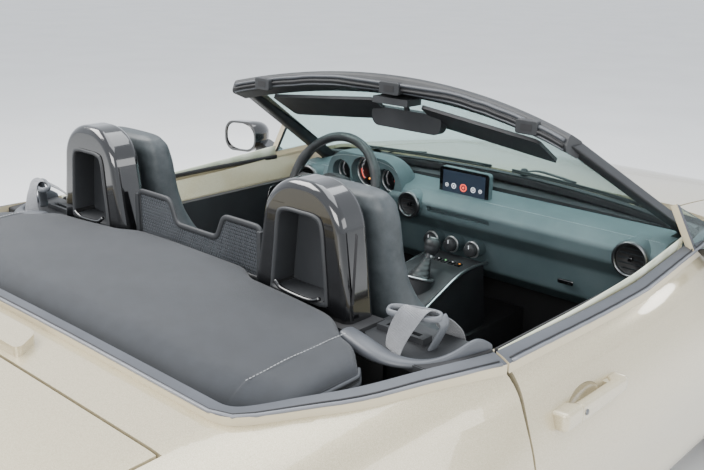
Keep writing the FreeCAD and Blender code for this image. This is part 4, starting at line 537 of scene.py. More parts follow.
# Carried-over nodes: each keeps its form and gets its finish
def split_finish(name, low, high, measure, at, steep=None, ahead=None):
    """One finish below a measure of place and another above it; steep sides above it may be painted."""
    made, tree, shader = shader_of(name, low[0], low[1])
    axes = add(tree, "SeparateXYZ", [("Vector", place(tree))])
    reach = add(tree, "Math", [(0, axes.outputs[measure])], operation="ABSOLUTE").outputs[0]
    above = add(tree, "Math", [(0, reach), (1, at)], operation="GREATER_THAN").outputs[0]
    if ahead:
        front = add(tree, "Math", [(0, axes.outputs["X"]), (1, ahead)], operation="GREATER_THAN").outputs[0]
        above = add(tree, "Math", [(0, above), (1, front)], operation="MULTIPLY").outputs[0]
    grain = add(tree, "TexVoronoi", [("Vector", place(tree)), ("Scale", 620.0)],
                feature="SMOOTH_F1").outputs["Distance"]
    bump(tree, shader, grain, 0.4, 0.0002)
    drift = noise(tree, 8.0, 4.0, 0.6)
    low_tone = ramp(tree, drift, [(0.3, low[0]), (0.75, tuple(c * 1.7 for c in low[0]))])
    high_tone = ramp(tree, drift, [(0.3, high[0]), (0.75, tuple(c * 1.35 for c in high[0]))])
    tone = add(tree, "Mix", [("Factor", above), (6, low_tone), (7, high_tone)], data_type="RGBA").outputs[2]
    rough = add(tree, "MapRange", [("Value", above), ("To Min", low[1]),
                                   ("To Max", high[1])]).outputs["Result"]
    if steep:
        normal = add(tree, "NewGeometry").outputs["True Normal"]
        facing = add(tree, "SeparateXYZ", [("Vector", normal)]).outputs["Z"]
        level = add(tree, "Math", [(0, facing)], operation="ABSOLUTE").outputs[0]
        upright = add(tree, "Math", [(0, level), (1, 0.4)], operation="LESS_THAN").outputs[0]
        side_face = add(tree, "Math", [(0, upright), (1, above)], operation="MULTIPLY").outputs[0]
        tone = add(tree, "Mix", [("Factor", side_face), (6, tone), (7, (*steep, 1))],
                   data_type="RGBA").outputs[2]
        rough = add(tree, "Mix", [("Factor", side_face), (2, rough), (3, 0.3)]).outputs[0]
    tree.links.new(tone, shader.inputs["Base Color"])
    tree.links.new(rough, shader.inputs["Roughness"])
    return made


SAND = (0.50, 0.435, 0.30)
RAIL_TONE = ((0.050, 0.054, 0.063), 0.42)
DOOR_CARD = split_finish("door_card_and_rail", ((0.011, 0.012, 0.014), 0.6), RAIL_TONE, "Z", 0.79, SAND)
DECK_RAIL = split_finish("deck_rail", RAIL_TONE, RAIL_TONE, "Z", 0.70, SAND)
# The tub is black with sand paint only on the hinge posts. Its black is partly the real floor and underbody
# colour. On the door jambs, which are body colour on the real car, it is painted shade for the dark door
# gaps.
TUB_AND_JAMB_SHADE = split_finish("tub_hinges_and_jamb_shade", ((0.012, 0.012, 0.013), 0.8), (SAND, 0.35), "Y", 0.79, ahead=0.40)
NODE_FINISH = {
    PAINT: "front_fenders sills rear_quarters rear_deck front_bumper rear_bumper hood boot_lid "
           "door_left door_right stop_lamp",
    LAMP_PANE: "headlamps",
    RED_LENS: "tail_lamps",
    DECK_RAIL: "deck_moulding",
    PANE: "windscreen_glass quarter_glass_left quarter_glass_right",
    BLACK_TRIM: "windscreen_frame cowl header_fittings cabin_trim console",
    DOOR_CARD: "door_trim_left door_trim_right",
    PIANO: "mirror_left mirror_right roll_hoops",
    TUB_AND_JAMB_SHADE: "floor_pan",
    DASH_SKIN: "dashboard",
    CAST: "powertrain knuckle_left knuckle_right",
    STEEL: "exhaust",
    CHASSIS: "front_suspension rear_suspension",
    SEAL: "grille",
    RUBBER: "tyre_front_left tyre_front_right tyre_rear_left tyre_rear_right",
    ALLOY: "rim_front_left rim_front_right rim_rear_left rim_rear_right",
}
for finish, names in NODE_FINISH.items():
    for node_name in names.split():
        held = NODES[node_name]
        if not held.material_slots:
            held.data.materials.append(finish)
        for place_slot in held.material_slots:
            place_slot.material = finish


# The folded soft top
ROOF_FRONT = [(0.0, -0.652), (0.19, -0.653), (0.222, -0.684), (0.46, -0.696), (0.57, -0.757),
              (0.642, -0.806)]
ROOF_SIDE = 0.641
ROOF_SEAM = 0.545


def roof_front(y):
    """Where the fabric's front edge lies at a distance from the centre line."""
    y = abs(y)
    for (ya, xa), (yb, xb) in zip(ROOF_FRONT, ROOF_FRONT[1:]):
        if y <= yb:
            t = (y - ya) / (yb - ya)
            return xa + (xb - xa) * t * t * (3 - 2 * t)
    return ROOF_FRONT[-1][1]


def roof_rear(y):
    return -1.043 + 0.05 * max(0.0, (abs(y) - 0.42) / 0.22) ** 2.2


def roof_top(x, y):
    """The height of the taut cover: a crown both ways, a fall at the rear, slack waves, and a small step up
    outboard of each seam.
    """
    across = min(1.0, abs(y) / ROOF_SIDE)
    height = 0.9065 - 0.026 * across ** 2.4
    height -= 0.010 * max(0.0, (-0.80 - x) / 0.2) ** 2
    waves = math.sin(31 * x + 9 * y) * math.sin(13 * y + 2.1) + 0.6 * math.sin(57 * x - 21 * y + 1.3)
    height += 0.0011 * waves
    lap = 0.5 + 0.5 * math.tanh((abs(y) - ROOF_SEAM) / 0.0014)
    return height + 0.0017 * lap


def roof_ring(y, drop):
    front, rear = roof_front(y), roof_rear(y)
    low = 0.800
    ring = [(front + 0.001, low), (front, roof_top(front, y) - 0.026 - drop),
            (front - 0.003, roof_top(front, y) - 0.010 - drop),
            (front - 0.010, roof_top(front, y) - 0.002 - drop)]
    steps = 26
    edge = rear + 0.072
    for i in range(1, steps):
        x = front - 0.010 + (edge - front + 0.010) * i / steps
        ring.append((x, roof_top(x, y) - drop))
    top = roof_top(edge, y) - drop
    for i in range(9):
        angle = math.pi / 2 * i / 8
        ring.append((edge - 0.072 * math.sin(angle), low + 0.02 + (top - low - 0.02) * math.cos(angle)))
    ring.append((rear + 0.004, low))
    return [Vector((x, y, z)) for x, z in ring]


def roof_cover():
    stations = [(ROOF_SIDE, 0.034), (ROOF_SIDE - 0.001, 0.020), (ROOF_SIDE - 0.006, 0.008),
                (ROOF_SIDE - 0.016, 0.002)]
    stations += [(y, 0.0) for y in (0.608, 0.59, 0.57, 0.556, 0.549, 0.5465, 0.545, 0.5435, 0.541, 0.532)]
    stations += [(0.52 - 0.026 * i, 0.0) for i in range(20)]
    left = [roof_ring(y, drop) for y, drop in stations]
    right = [roof_ring(-y, drop) for y, drop in reversed(stations)]
    mesh = skin_loops(left + right, "roof_cover")
    return modified(mesh, [("SUBSURF", {"levels": 1, "render_levels": 1})])


roof = finish_piece(roof_cover(), "soft_top_cover", "root", ROOF_CLOTH)
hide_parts("folded_roof")

for side in (-1, 1):
    word = "left" if side > 0 else "right"
    seam = []
    for i in range(60):
        x = -0.752 - 0.235 * i / 59
        seam.append((x, side * (ROOF_SEAM + 0.004), roof_top(x, ROOF_SEAM + 0.004) + 0.0003))
    stitch_line(seam, f"roof_seam_{word}", "root", 0.0062, lift=0.0008)
    rim = [(roof_front(0.630) - 0.002, 0.630, 0.868), (roof_front(0.638) - 0.01, 0.640, 0.862)]
    rim += [(-0.83 - 0.03 * i, 0.6415, 0.861 - 0.0008 * i) for i in range(4)] + [(-0.975, 0.640, 0.848),
            (-1.0, 0.636, 0.828)]
    rim = [(x, side * y, z) for x, y, z in rim]
    piping = sweep(smooth_line(rim, 6), ring_section(0.0042, 8), "roof_piping")
    finish_piece(piping, f"roof_piping_{word}", "root", ROOF_EDGE)
    layer = [(x + 0.002, y - side * 0.006, z - 0.018) for x, y, z in rim]
    folded = sweep(smooth_line(layer, 6), [(-0.008, -0.006), (0.010, -0.007), (0.012, 0.0), (0.010, 0.006),
                                           (-0.008, 0.006)], "roof_lower_fold")
    finish_piece(folded, f"roof_lower_fold_{word}", "root", ROOF_EDGE)


# Roll hoops: a dark grained lining inside each lacquered arch, with its slotted tray
for side in (-1, 1):
    word = "left" if side > 0 else "right"
    centre = side * SEAT_Y
    ring_out = smooth_line([(0, centre + side * y * 0.995, 0.978 + (z - 0.978) * 0.995) for y,
                            z in [(-0.069, 0.894), (0, 0.893), (0.064, 0.894), (0.071, 0.91),
                                  (0.064, 0.985), (0.056, 1.046), (0.040, 1.062), (0, 1.064),
                                  (-0.044, 1.062), (-0.060, 1.046), (-0.067, 0.985), (-0.075, 0.91)]], 4,
                           True)
    loops = []
    for depth, share in ((-0.6855, 1.06), (-0.6855, 0.98), (-0.68, 0.955), (-0.612, 0.955), (-0.606, 0.99),
                         (-0.6035, 1.05)):
        loops.append([Vector((depth, centre + (p.y - centre) * share,
                              0.978 + (p.z - 0.978) * share)) for p in ring_out])
    bezel = skin_loops(loops + [loops[0]], "hoop_lining", caps=False)
    finish_piece(bezel, f"hoop_lining_{word}", "root", BLACK_TRIM)
    back = [(centre + (p.y - centre) * 0.945, 0.978 + (p.z - 0.978) * 0.945) for p in ring_out]
    plate = outline_slab(back, -0.628, -0.624, "hoop_panel", axes="yz")
    finish_piece(plate, f"hoop_panel_{word}", "root", CARD_BLACK, False)
    tray = sweep(smooth_line([(-0.688, centre - side * 0.062, 0.912),
                              (-0.690, centre - side * 0.040, 0.900),
                              (-0.690, centre + side * 0.030, 0.896),
                              (-0.688, centre + side * 0.060, 0.905)], 6), ring_section(0.0045, 8),
                 "hoop_tray")
    finish_piece(tray, f"hoop_tray_edge_{word}", "root", PIANO)
    # A thin matte black sheet on the hoop's side marks its slot: painted shade for the dark inside the
    # slot.
    slot_shade = outline_slab([(-0.668, 0.905), (-0.662, 0.905), (-0.655, 1.04), (-0.660, 1.045)],
                        centre + side * 0.1235, centre + side * 0.1255, "hoop_slot_shade", axes="xz")
    finish_piece(slot_shade, f"hoop_slot_shade_{word}", "root", SEAL, False)

# The wind deflector between them: a moulded rim round a fine net
DEFLECTOR = [(-0.211, 0.876), (0.211, 0.876), (0.211, 0.991), (0.094, 0.991), (0.070, 0.937),
             (-0.070, 0.937), (-0.094, 0.991), (-0.211, 0.991)]


def rounded_outline(points, cut=0.014, steps=4):
    out = []
    for i, corner in enumerate(points):
        corner = Vector(corner)
        back = (Vector(points[i - 1]) - corner).normalized() * cut
        ahead = (Vector(points[(i + 1) % len(points)]) - corner).normalized() * cut
        for k in range(steps + 1):
            t = k / steps
            out.append((corner + back) * (1 - t) ** 2 + corner * 2 * t * (1 - t) + (corner + ahead) * t * t)
    return out


def inside(y, z, points):
    hit = False
    for i, (ya, za) in enumerate(points):
        yb, zb = points[i - 1]
        if (za > z) != (zb > z) and y < (yb - ya) * (z - za) / (zb - za) + ya:
            hit = not hit
    return hit


rim_line = [Vector((-0.643, p.x, p.y)) for p in rounded_outline(DEFLECTOR, 0.016, 5)]
rim = sweep(rim_line, [(-0.0062, -0.0045), (0.0062, -0.0045), (0.0068, 0.0), (0.0062, 0.0045),
                       (-0.0062, 0.0045), (-0.0068, 0.0)], "deflector_rim", True, Vector((1, 0, 0)))
rim = modified(rim, [("SUBSURF", {"levels": 1, "render_levels": 1})])
rim_piece = finish_piece(rim, "wind_deflector_rim", "root", BLACK_TRIM)
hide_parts("wind_deflector")
CELL = 0.0078
net = []
for row in range(16):
    for column in range(-28, 29):
        y, z = column * CELL + (CELL / 2 if row % 2 else 0), 0.874 + row * CELL
        if inside(y, z, DEFLECTOR):
            net.append(((-0.643, y, z), (0, 0.5, 0.866), (1, 0, 0)))
            net.append(((-0.643, y, z), (0, 0.5, -0.866), (1, 0, 0)))
repeated(net, WIRE, CELL * 1.25, "wind_deflector_net", "root", NET_THREAD)
feet = [outline_slab([(side * 0.205, 0.868), (side * 0.219, 0.868), (side * 0.219, 0.985),
                      (side * 0.207, 0.985)], -0.652, -0.634, "deflector_foot", 0.002,
                     "yz") for side in (-1, 1)]
finish_piece(join(feet, "deflector_feet"), "wind_deflector_feet", "root", BLACK_TRIM, False)


# Seats: one skin from the front of the cushion, down into the crook and up to the head restraint
SEAT_SPINE = [
    # x, z, half width, half thickness, bolster
    (0.168, 0.318, 0.200, 0.020, 0.000), (0.160, 0.322, 0.226, 0.048, 0.006),
    (0.130, 0.326, 0.238, 0.064, 0.016), (0.060, 0.330, 0.243, 0.070, 0.026),
    (-0.040, 0.322, 0.245, 0.068, 0.032), (-0.150, 0.312, 0.244, 0.066, 0.032),
    (-0.250, 0.306, 0.238, 0.064, 0.026), (-0.318, 0.306, 0.228, 0.056, 0.012),
    (-0.345, 0.306, 0.205, 0.028, 0.000),
]
BACK_SPINE = [(-0.352, 0.330, 0.196, 0.026, 0.000), (-0.356, 0.352, 0.222, 0.048, 0.012),
              (-0.366, 0.400, 0.236, 0.056, 0.030), (-0.388, 0.480, 0.243, 0.060, 0.044),
              (-0.414, 0.570, 0.243, 0.060, 0.048), (-0.442, 0.660, 0.236, 0.058, 0.046),
              (-0.470, 0.740, 0.212, 0.055, 0.036), (-0.492, 0.800, 0.180, 0.053, 0.022),
              (-0.508, 0.850, 0.150, 0.050, 0.010), (-0.520, 0.900, 0.133, 0.047, 0.004),
              (-0.530, 0.960, 0.124, 0.044, 0.003), (-0.538, 1.030, 0.120, 0.042, 0.004),
              (-0.544, 1.070, 0.114, 0.038, 0.003), (-0.547, 1.092, 0.098, 0.026, 0.000),
              (-0.548, 1.099, 0.070, 0.012, 0.000), ]


def spine_at(spine, s):
    """Values and the surface direction at a fractional station of a spine."""
    i = max(0, min(len(spine) - 2, int(s)))
    t = s - i
    here = [a + (b - a) * t for a, b in zip(spine[i], spine[i + 1])]
    low, high = spine[max(0, round(s) - 1)], spine[min(len(spine) - 1, round(s) + 1)]
    run = Vector((high[0] - low[0], 0, high[1] - low[1])).normalized()
    return here, Vector((run.z, 0, -run.x))


def skin_point(spine, s, u, centre_y, lift=0.0):
    """A point of the seat's face at a share u of its half width."""
    (x, z, half, thick, bolster), normal = spine_at(spine, s)
    rise = thick * max(0.0, 1 - abs(u) ** 2.6) ** 0.3
    rise += bolster * math.exp(-((abs(u) - 0.80) / 0.13) ** 2)
    return Vector((x, centre_y + half * u, z)) + normal * (rise + lift)


def seat_skin(spine, centre_y, name):
    loops = []
    for i in range((len(spine) - 1) * 3 + 1):
        s = i / 3
        (x, z, half, thick, _), normal = spine_at(spine, s)
        front_half = [skin_point(spine, s, -math.cos(math.pi * k / 30), centre_y) for k in range(31)]
        back_half = [Vector((x, centre_y + half * math.cos(math.pi * k / 14), z))
                     - normal * thick * math.sin(math.pi * k / 14) ** 0.6 for k in range(1, 14)]
        loops.append(front_half + back_half)
    return modified(skin_loops(loops, name), [("SUBSURF", {"levels": 1, "render_levels": 1})])


def seat_insert(spine, span, pitch, centre_y, name):
    """The fluted centre panel, tucked in at its border."""
    loops = []
    rows = 46
    for i in range(rows + 1):
        s = span[0] + (span[1] - span[0]) * i / rows
        flute = abs(math.sin(math.pi * i / rows * pitch)) ** 0.6
        end = min(1.0, i / 2.5, (rows - i) / 2.5)
        top, low = [], []
        for k in range(25):
            u = -0.60 + 1.2 * k / 24
            edge = min(1.0, (0.60 - abs(u)) / 0.05)
            top.append(skin_point(spine, s, u, centre_y, -0.003 + 0.0085 * flute * min(edge, end)))
            low.append(skin_point(spine, s, u, centre_y, -0.014))
        loops.append(top + low[::-1])
    return modified(skin_loops(loops, name), [("SUBSURF", {"levels": 1, "render_levels": 1})])


def filled(mesh, pressure, limit):
    """The pad drawn tight over its foam: a closed cloth under light inner pressure, its movement capped."""
    rest = bpy.data.objects.new("pad", mesh)
    SCENE.collection.objects.link(rest)
    remesh = rest.modifiers.new("even", "REMESH")
    remesh.mode = "VOXEL"
    remesh.voxel_size = 0.006
    even = plain_mesh(rest)
    pad = bpy.data.objects.new("pad", even)
    SCENE.collection.objects.link(pad)
    before = [v.co.copy() for v in even.vertices]
    cloth = pad.modifiers.new("fill", "CLOTH")
    cloth.settings.use_pressure = True
    cloth.settings.uniform_pressure_force = pressure
    cloth.settings.effector_weights.gravity = 0
    for frame_number in range(1, 15):
        SCENE.frame_set(frame_number)
    bpy.context.evaluated_depsgraph_get().update()
    full = plain_mesh(pad)
    SCENE.frame_set(1)
    for vertex, start in zip(full.vertices, before):
        move = vertex.co - start
        if move.length > limit:
            vertex.co = start + move.normalized() * limit
    return modified(full, [("SMOOTH", {"factor": 0.5, "iterations": 2}),
                           ("SUBSURF", {"levels": 1, "render_levels": 1})])


for side, word in ((1, "left"), (-1, "right")):
    centre = side * SEAT_Y
    base = finish_piece(seat_skin(SEAT_SPINE, centre, "seat_base"), f"seat_cushion_{word}", "root",
                        SEAT_HIDE)
    back = finish_piece(seat_skin(BACK_SPINE, centre, "seat_back"), f"seat_back_{word}", "root",
                        SEAT_HIDE)
    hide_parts(f"seat_{word}")
    for label, spine, span, pitch in (("cushion", SEAT_SPINE, (1.6, 7.2), 7),
                                      ("back", BACK_SPINE, (1.6, 7.6), 9)):
        panel = filled(seat_insert(spine, span, pitch, centre, "seat_insert"), 2.2, 0.004)
        panel = finish_piece(panel, f"seat_{label}_panel_{word}", "root", SEAT_CLOTH)
        for flip in (-1, 1):
            edge = [skin_point(spine, span[0] + (span[1] - span[0]) * i / 60, flip * 0.62, centre, 0.0005)
                    for i in range(61)]
            welt = sweep(edge, ring_section(0.0022, 6), "seat_welt", up=Vector((0, 1, 0)))
            hand = "outer" if flip == side else "inner"
            finish_piece(welt, f"seat_{label}_welt_{hand}_{word}", "root", SEAT_HIDE)
            row = [skin_point(spine, span[0] + (span[1] - span[0]) * i / 60, flip * 0.655,
                              centre) for i in range(61)]
            facing = (0.2, 0, 1) if label == "cushion" else (1, 0, 0.3)
            stitch_line(row, f"seat_{label}_stitches_{hand}_{word}", "root", 0.0046, facing)
    rails = []
    for flip in (-1, 1):
        y = centre + flip * 0.17
        rails.append(outline_slab([(-0.34, 0.1725), (0.12, 0.1725), (0.12, 0.19), (-0.34, 0.19)], y - 0.02,
                                  y + 0.02, "rail", 0.003, "xz"))
        rails.append(outline_slab([(-0.30, 0.19), (0.10, 0.19), (0.08, 0.262), (-0.27, 0.262)], y - 0.008,
                                  y + 0.008, "rail", 0.002, "xz"))
    finish_piece(join(rails, "rails"), f"seat_rails_{word}", "root", STEEL, False)
    cover = outline_slab([(-0.37, 0.255), (0.12, 0.255), (0.14, 0.30), (-0.26, 0.315), (-0.33, 0.40),
                          (-0.39, 0.40), (-0.40, 0.30)], centre + side * 0.244, centre + side * 0.254,
                         "side_cover", 0.004, "xz")
    lever = sweep(smooth_line([(-0.30, centre + side * 0.258, 0.31), (-0.24, centre + side * 0.262, 0.315),
                               (-0.17, centre + side * 0.262, 0.328)], 5), ring_section(0.007, 8, 1.6),
                  "lever")
    finish_piece(join([cover, lever], "cover"), f"seat_side_cover_{word}", "root", BLACK_TRIM)
    shell = []
    for flip in (-1, 1):
        for k in range(2):
            shell.append(turned([(0.0, 0), (0.012, 0.0), (0.013, 0.004), (0.008, 0.006), (0.0, 0.006)],
                                (-0.524 - 0.002 * k, centre + flip * 0.100, 0.92 + 0.07 * k), (0, flip, 0),
                                "eyelet", 16))
    finish_piece(join(shell, "eyelets"), f"head_restraint_eyelets_{word}", "root", BLACK_TRIM)

# Steering wheel, drawn in its own tilted plane
WHEEL_AT = Vector((0.185, SEAT_Y, 0.812))
TILT = math.radians(22)
TO_DRIVER = Vector((-math.cos(TILT), 0, math.sin(TILT)))
WHEEL_UP = Vector((math.sin(TILT), 0, math.cos(TILT)))


def on_wheel(y, v, n=0.0):
    return WHEEL_AT + Vector((0, y, 0)) + WHEEL_UP * v + TO_DRIVER * n


def wheel_dome(outline, layers, name):
    """An outline carried towards the driver in layers of (share, height)."""
    loops = [[on_wheel(y * share, v * share, n) for y, v in outline] for share, n in layers]
    return skin_loops(loops, name)


rim = []
for k in range(96):
    angle = math.tau * k / 96
    grip = 1 + 0.14 * sum(math.exp(-((math.degrees(angle) - rest) / 9) ** 2) for rest in (28, 152))
    middle = on_wheel(0.174 * math.cos(angle), 0.174 * math.sin(angle))
    outward = (middle - WHEEL_AT).normalized()
    rim.append([middle + outward * (0.0150 * grip * math.cos(t)) + TO_DRIVER * (0.0158 * grip * math.sin(t))
                for t in (math.tau * i / 16 for i in range(16))])
rim_mesh = skin_loops(rim + [rim[0]], "rim", caps=False)
wheel_rim = finish_piece(rim_mesh, "steering_rim", "steering_wheel", GRIP_HIDE)
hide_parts("steering_wheel")
hem = []
for k in range(220):
    angle = math.tau * k / 220
    inward = on_wheel(0.1592 * math.cos(angle), 0.1592 * math.sin(angle), 0.002)
    along = on_wheel(math.sin(angle + 0.35), -math.cos(angle + 0.35)) - WHEEL_AT
    hem.append((inward, tuple(along), tuple((WHEEL_AT - inward).normalized())))
repeated(hem, STITCH, 0.0046, "steering_rim_stitches", "steering_wheel", THREAD, True)
BOSS = smooth_line([(0.060, 0.030, 0), (0.036, 0.050, 0), (0, 0.054, 0), (-0.036, 0.050, 0),
                    (-0.060, 0.030, 0), (-0.062, -0.004, 0), (-0.040, -0.048, 0), (0, -0.060, 0),
                    (0.040, -0.048, 0), (0.062, -0.004, 0)], 5, True)
BOSS = [(p.x, p.y) for p in BOSS]
pad = wheel_dome(BOSS, [(0.90, -0.034), (1.02, -0.026), (1.04, -0.010), (1.0, 0.002), (0.90, 0.010),
                        (0.70, 0.014), (0.35, 0.016), (0.05, 0.0165)], "boss")
finish_piece(pad, "steering_boss", "steering_wheel", BLACK_TRIM)
groove = [on_wheel(0.86 * y, 0.86 * v, 0.0115) for y, v in BOSS]
finish_piece(sweep(groove, ring_section(0.0010, 6), "groove", True, TO_DRIVER), "steering_boss_seam",
             "steering_wheel", SEAL)
neck = turned([(0.030, -0.060), (0.034, -0.050), (0.040, -0.034)], WHEEL_AT, TO_DRIVER, "neck", 32)
finish_piece(neck, "steering_neck", "steering_wheel", BLACK_TRIM)


def spoke(points, widths, name):
    """A flat spoke through (y, v, n) points."""
    loops = []
    line = [on_wheel(*p) for p in points]
    for i, (point, along, _, _) in enumerate(frames_along(line, TO_DRIVER)):
        across = along.cross(TO_DRIVER).normalized()
        wide, thick = widths[i]
        loops.append([point + across * (wide * math.cos(t)) + TO_DRIVER * (thick * math.sin(t) ** 3)
                      for t in (math.tau * k / 14 for k in range(14))])
    return modified(skin_loops(loops, name), [("SUBSURF", {"levels": 1, "render_levels": 1})])


spokes, trims, buttons = [], [], []
for side in (-1, 1):
    spokes.append(spoke([(side * 0.045, 0.004, -0.012), (side * 0.085, 0.010, -0.016),
                         (side * 0.130, 0.014, -0.010), (side * 0.168, 0.016, 0.0)],
                        [(0.040, 0.014), (0.030, 0.011), (0.022, 0.009), (0.020, 0.008)], "spoke"))
    spokes.append(spoke([(side * 0.024, -0.040, -0.012), (side * 0.034, -0.085, -0.018),
                         (side * 0.044, -0.130, -0.012), (side * 0.050, -0.164, 0.0)],
                        [(0.018, 0.012), (0.014, 0.009), (0.012, 0.008), (0.012, 0.007)], "spoke"))
    trims.append(spoke([(side * 0.062, -0.020, -0.002), (side * 0.090, -0.012, -0.006),
                        (side * 0.128, -0.004, -0.002), (side * 0.160, -0.002, 0.003)],
                       [(0.004, 0.005), (0.007, 0.005), (0.006, 0.004), (0.004, 0.003)], "trim"))
    trims.append(spoke([(side * 0.036, -0.052, -0.002), (side * 0.042, -0.090, -0.008),
                        (side * 0.050, -0.130, -0.004), (side * 0.055, -0.160, 0.002)],
                       [(0.004, 0.004), (0.006, 0.004), (0.006, 0.004), (0.004, 0.003)], "trim"))
    for y, v in [(0.088, 0.022), (0.104, 0.022), (0.096, 0.006), (0.112, 0.006)]:
        buttons.append(outline_slab([(-0.0065, -0.005), (0.0065, -0.005), (0.0065, 0.005),
                                     (-0.0065, 0.005)], 0, 0.004, "button", 0.0015))
        for vertex in buttons[-1].vertices:
            a, b, c = vertex.co
            vertex.co = on_wheel(side * y + a, v + b, -0.0045 + c)
finish_piece(join(spokes, "spokes"), "steering_spokes", "steering_wheel", BLACK_TRIM)
finish_piece(join(trims, "trims"), "steering_spoke_trims", "steering_wheel", SATIN_SILVER)
finish_piece(join(buttons, "buttons"), "steering_buttons", "steering_wheel", PIANO, False)

# Dials: faces, scales, needles and bezels in the cluster
FACE = 0.320
DIALS = [("tachometer", SEAT_Y, 0.844, 0.052, -2.1), ("speedometer", SEAT_Y - 0.096, 0.832, 0.040, -2.6),
         ("information", SEAT_Y + 0.096, 0.832, 0.040, -0.5)]


def dial_ring(inner, outer, y, z, x, name, depth=0.010):
    return turned([(inner, 0.0), (inner + 0.0006, -depth * 0.7), ((inner + outer) / 2, -depth),
                   (outer, -depth * 0.7), (outer, 0.0), (inner, 0.0)], (x, y, z), (1, 0, 0), name, 64)


for name, y, z, radius, needle_at in DIALS:
    face_x = FACE + 0.062
    face = turned([(0.0, 0), (radius - 0.0008, 0), (radius - 0.0008, 0.006), (0.0, 0.006)], (face_x, y, z),
                  (1, 0, 0), "face", 64)
    finish_piece(face, f"{name}_face", "root", DIAL_BLACK)
    bezel = dial_ring(radius - 0.0055, radius - 0.0004, y, z, face_x - 0.014, "bezel", 0.006)
    finish_piece(bezel, f"{name}_bezel", "root", SATIN_SILVER)
    marks = []
    for k in range(41):
        angle = -2.35 + 4.7 * k / 40
        spoke_dir = Vector((0, math.sin(angle), math.cos(angle)))
        length = 0.86 if k % 5 else 0.80
        marks.append((Vector((face_x - 0.0006, y, z)) + spoke_dir * radius * length, tuple(spoke_dir),
                      (-1, 0, 0)))
    repeated(marks, TICK, radius * 0.085, f"{name}_scale", "root", GLOW_WHITE)
    band = [Vector((face_x - 0.0008, y + radius * 0.9 * math.sin(1.6 + 0.75 * k / 12),
                    z + radius * 0.9 * math.cos(1.6 + 0.75 * k / 12))) for k in range(13)]
    if name == "tachometer":
        finish_piece(sweep(band, ring_section(0.0011, 6), "band", up=Vector((1, 0, 0))),
                     "tachometer_red_band", "root", GLOW_RED)
    tip = Vector((face_x - 0.004, y + radius * 0.72 * math.sin(needle_at),
                  z + radius * 0.72 * math.cos(needle_at)))
    hub = Vector((face_x - 0.004, y, z))
    needle = sweep([hub - (tip - hub) * 0.16, hub, hub.lerp(tip, 0.6), tip], ring_section(0.0011, 6),
                   "needle", up=Vector((1, 0, 0)))
    cap = turned([(0.0, -0.007), (0.0055, -0.006), (0.0062, -0.002), (0.0062, 0.0), (0.0, 0.0)],
                 (face_x, y, z), (1, 0, 0), "cap", 24)
    finish_piece(needle, f"{name}_needle", "root", GLOW_RED)
    finish_piece(cap, f"{name}_hub", "root", PIANO)
lamps = [(0.0, -0.028, GLOW_GREEN), (0.012, -0.030, GLOW_AMBER), (-0.012, -0.030, GLOW_RED)]
for k, (dy, dz, glow) in enumerate(lamps):
    spot = turned([(0.0, 0), (0.0028, 0), (0.0028, 0.002), (0.0, 0.002)],
                  (FACE + 0.0612, SEAT_Y + dy, 0.844 + dz), (1, 0, 0), "spot", 14)
    finish_piece(spot, f"telltale_{k + 1}", "root", glow)
hood_line = []
for k in range(31):
    a = math.pi * k / 30
    hood_line.append((FACE + 0.0125, SEAT_Y + 0.150 * math.cos(a), 0.852 + 0.050 * math.sin(a) ** 0.6))
stitch_line([(x - 0.001, y, z - 0.006) for x, y, z in hood_line[3:28]], "cluster_hood_stitches", "root",
            0.005, (-1, 0, 0.2))

# Centre screen with its lit field and plain round icons
screen_edge = [(p.x, p.y) for p in rounded_outline([(-0.091, 0.800), (0.091, 0.800), (0.091, 0.907),
                                                    (-0.091, 0.907)], 0.010, 4)]
glass = outline_slab(screen_edge, FACE + 0.0648, FACE + 0.0658, "screen_glass", 0.0003, "yz")
finish_piece(glass, "screen_glass", "root", PIANO, False)
field = outline_slab([(-0.078, 0.816), (0.078, 0.816), (0.078, 0.898), (-0.078, 0.898)], FACE + 0.0640,
                     FACE + 0.0649, "field", 0.0, "yz")
finish_piece(field, "screen_field", "root", SCREEN_BLUE, False)
for k, (y, z, r, glow) in enumerate([(0.0, 0.852, 0.0120, GLOW_RED), (0.036, 0.852, 0.0085, GLOW_WHITE),
                                     (-0.036, 0.852, 0.0085, GLOW_WHITE),
                                     (0.062, 0.852, 0.0060, GLOW_WHITE),
                                     (-0.062, 0.852, 0.0060, GLOW_WHITE)]):
    ring = turned([(r * 0.72, 0), (r * 0.72, -0.0006), (r, -0.0006), (r, 0), (r * 0.72, 0)],
                  (FACE + 0.0639, y, z), (1, 0, 0), "icon", 28)
    mark = turned([(0.0, -0.0006), (r * 0.34, -0.0006), (r * 0.34, 0), (0.0, 0)], (FACE + 0.0639, y, z),
                  (1, 0, 0), "icon", 12)
    finish_piece(join([ring, mark], "icon"), f"screen_icon_{k + 1}", "root", glow)

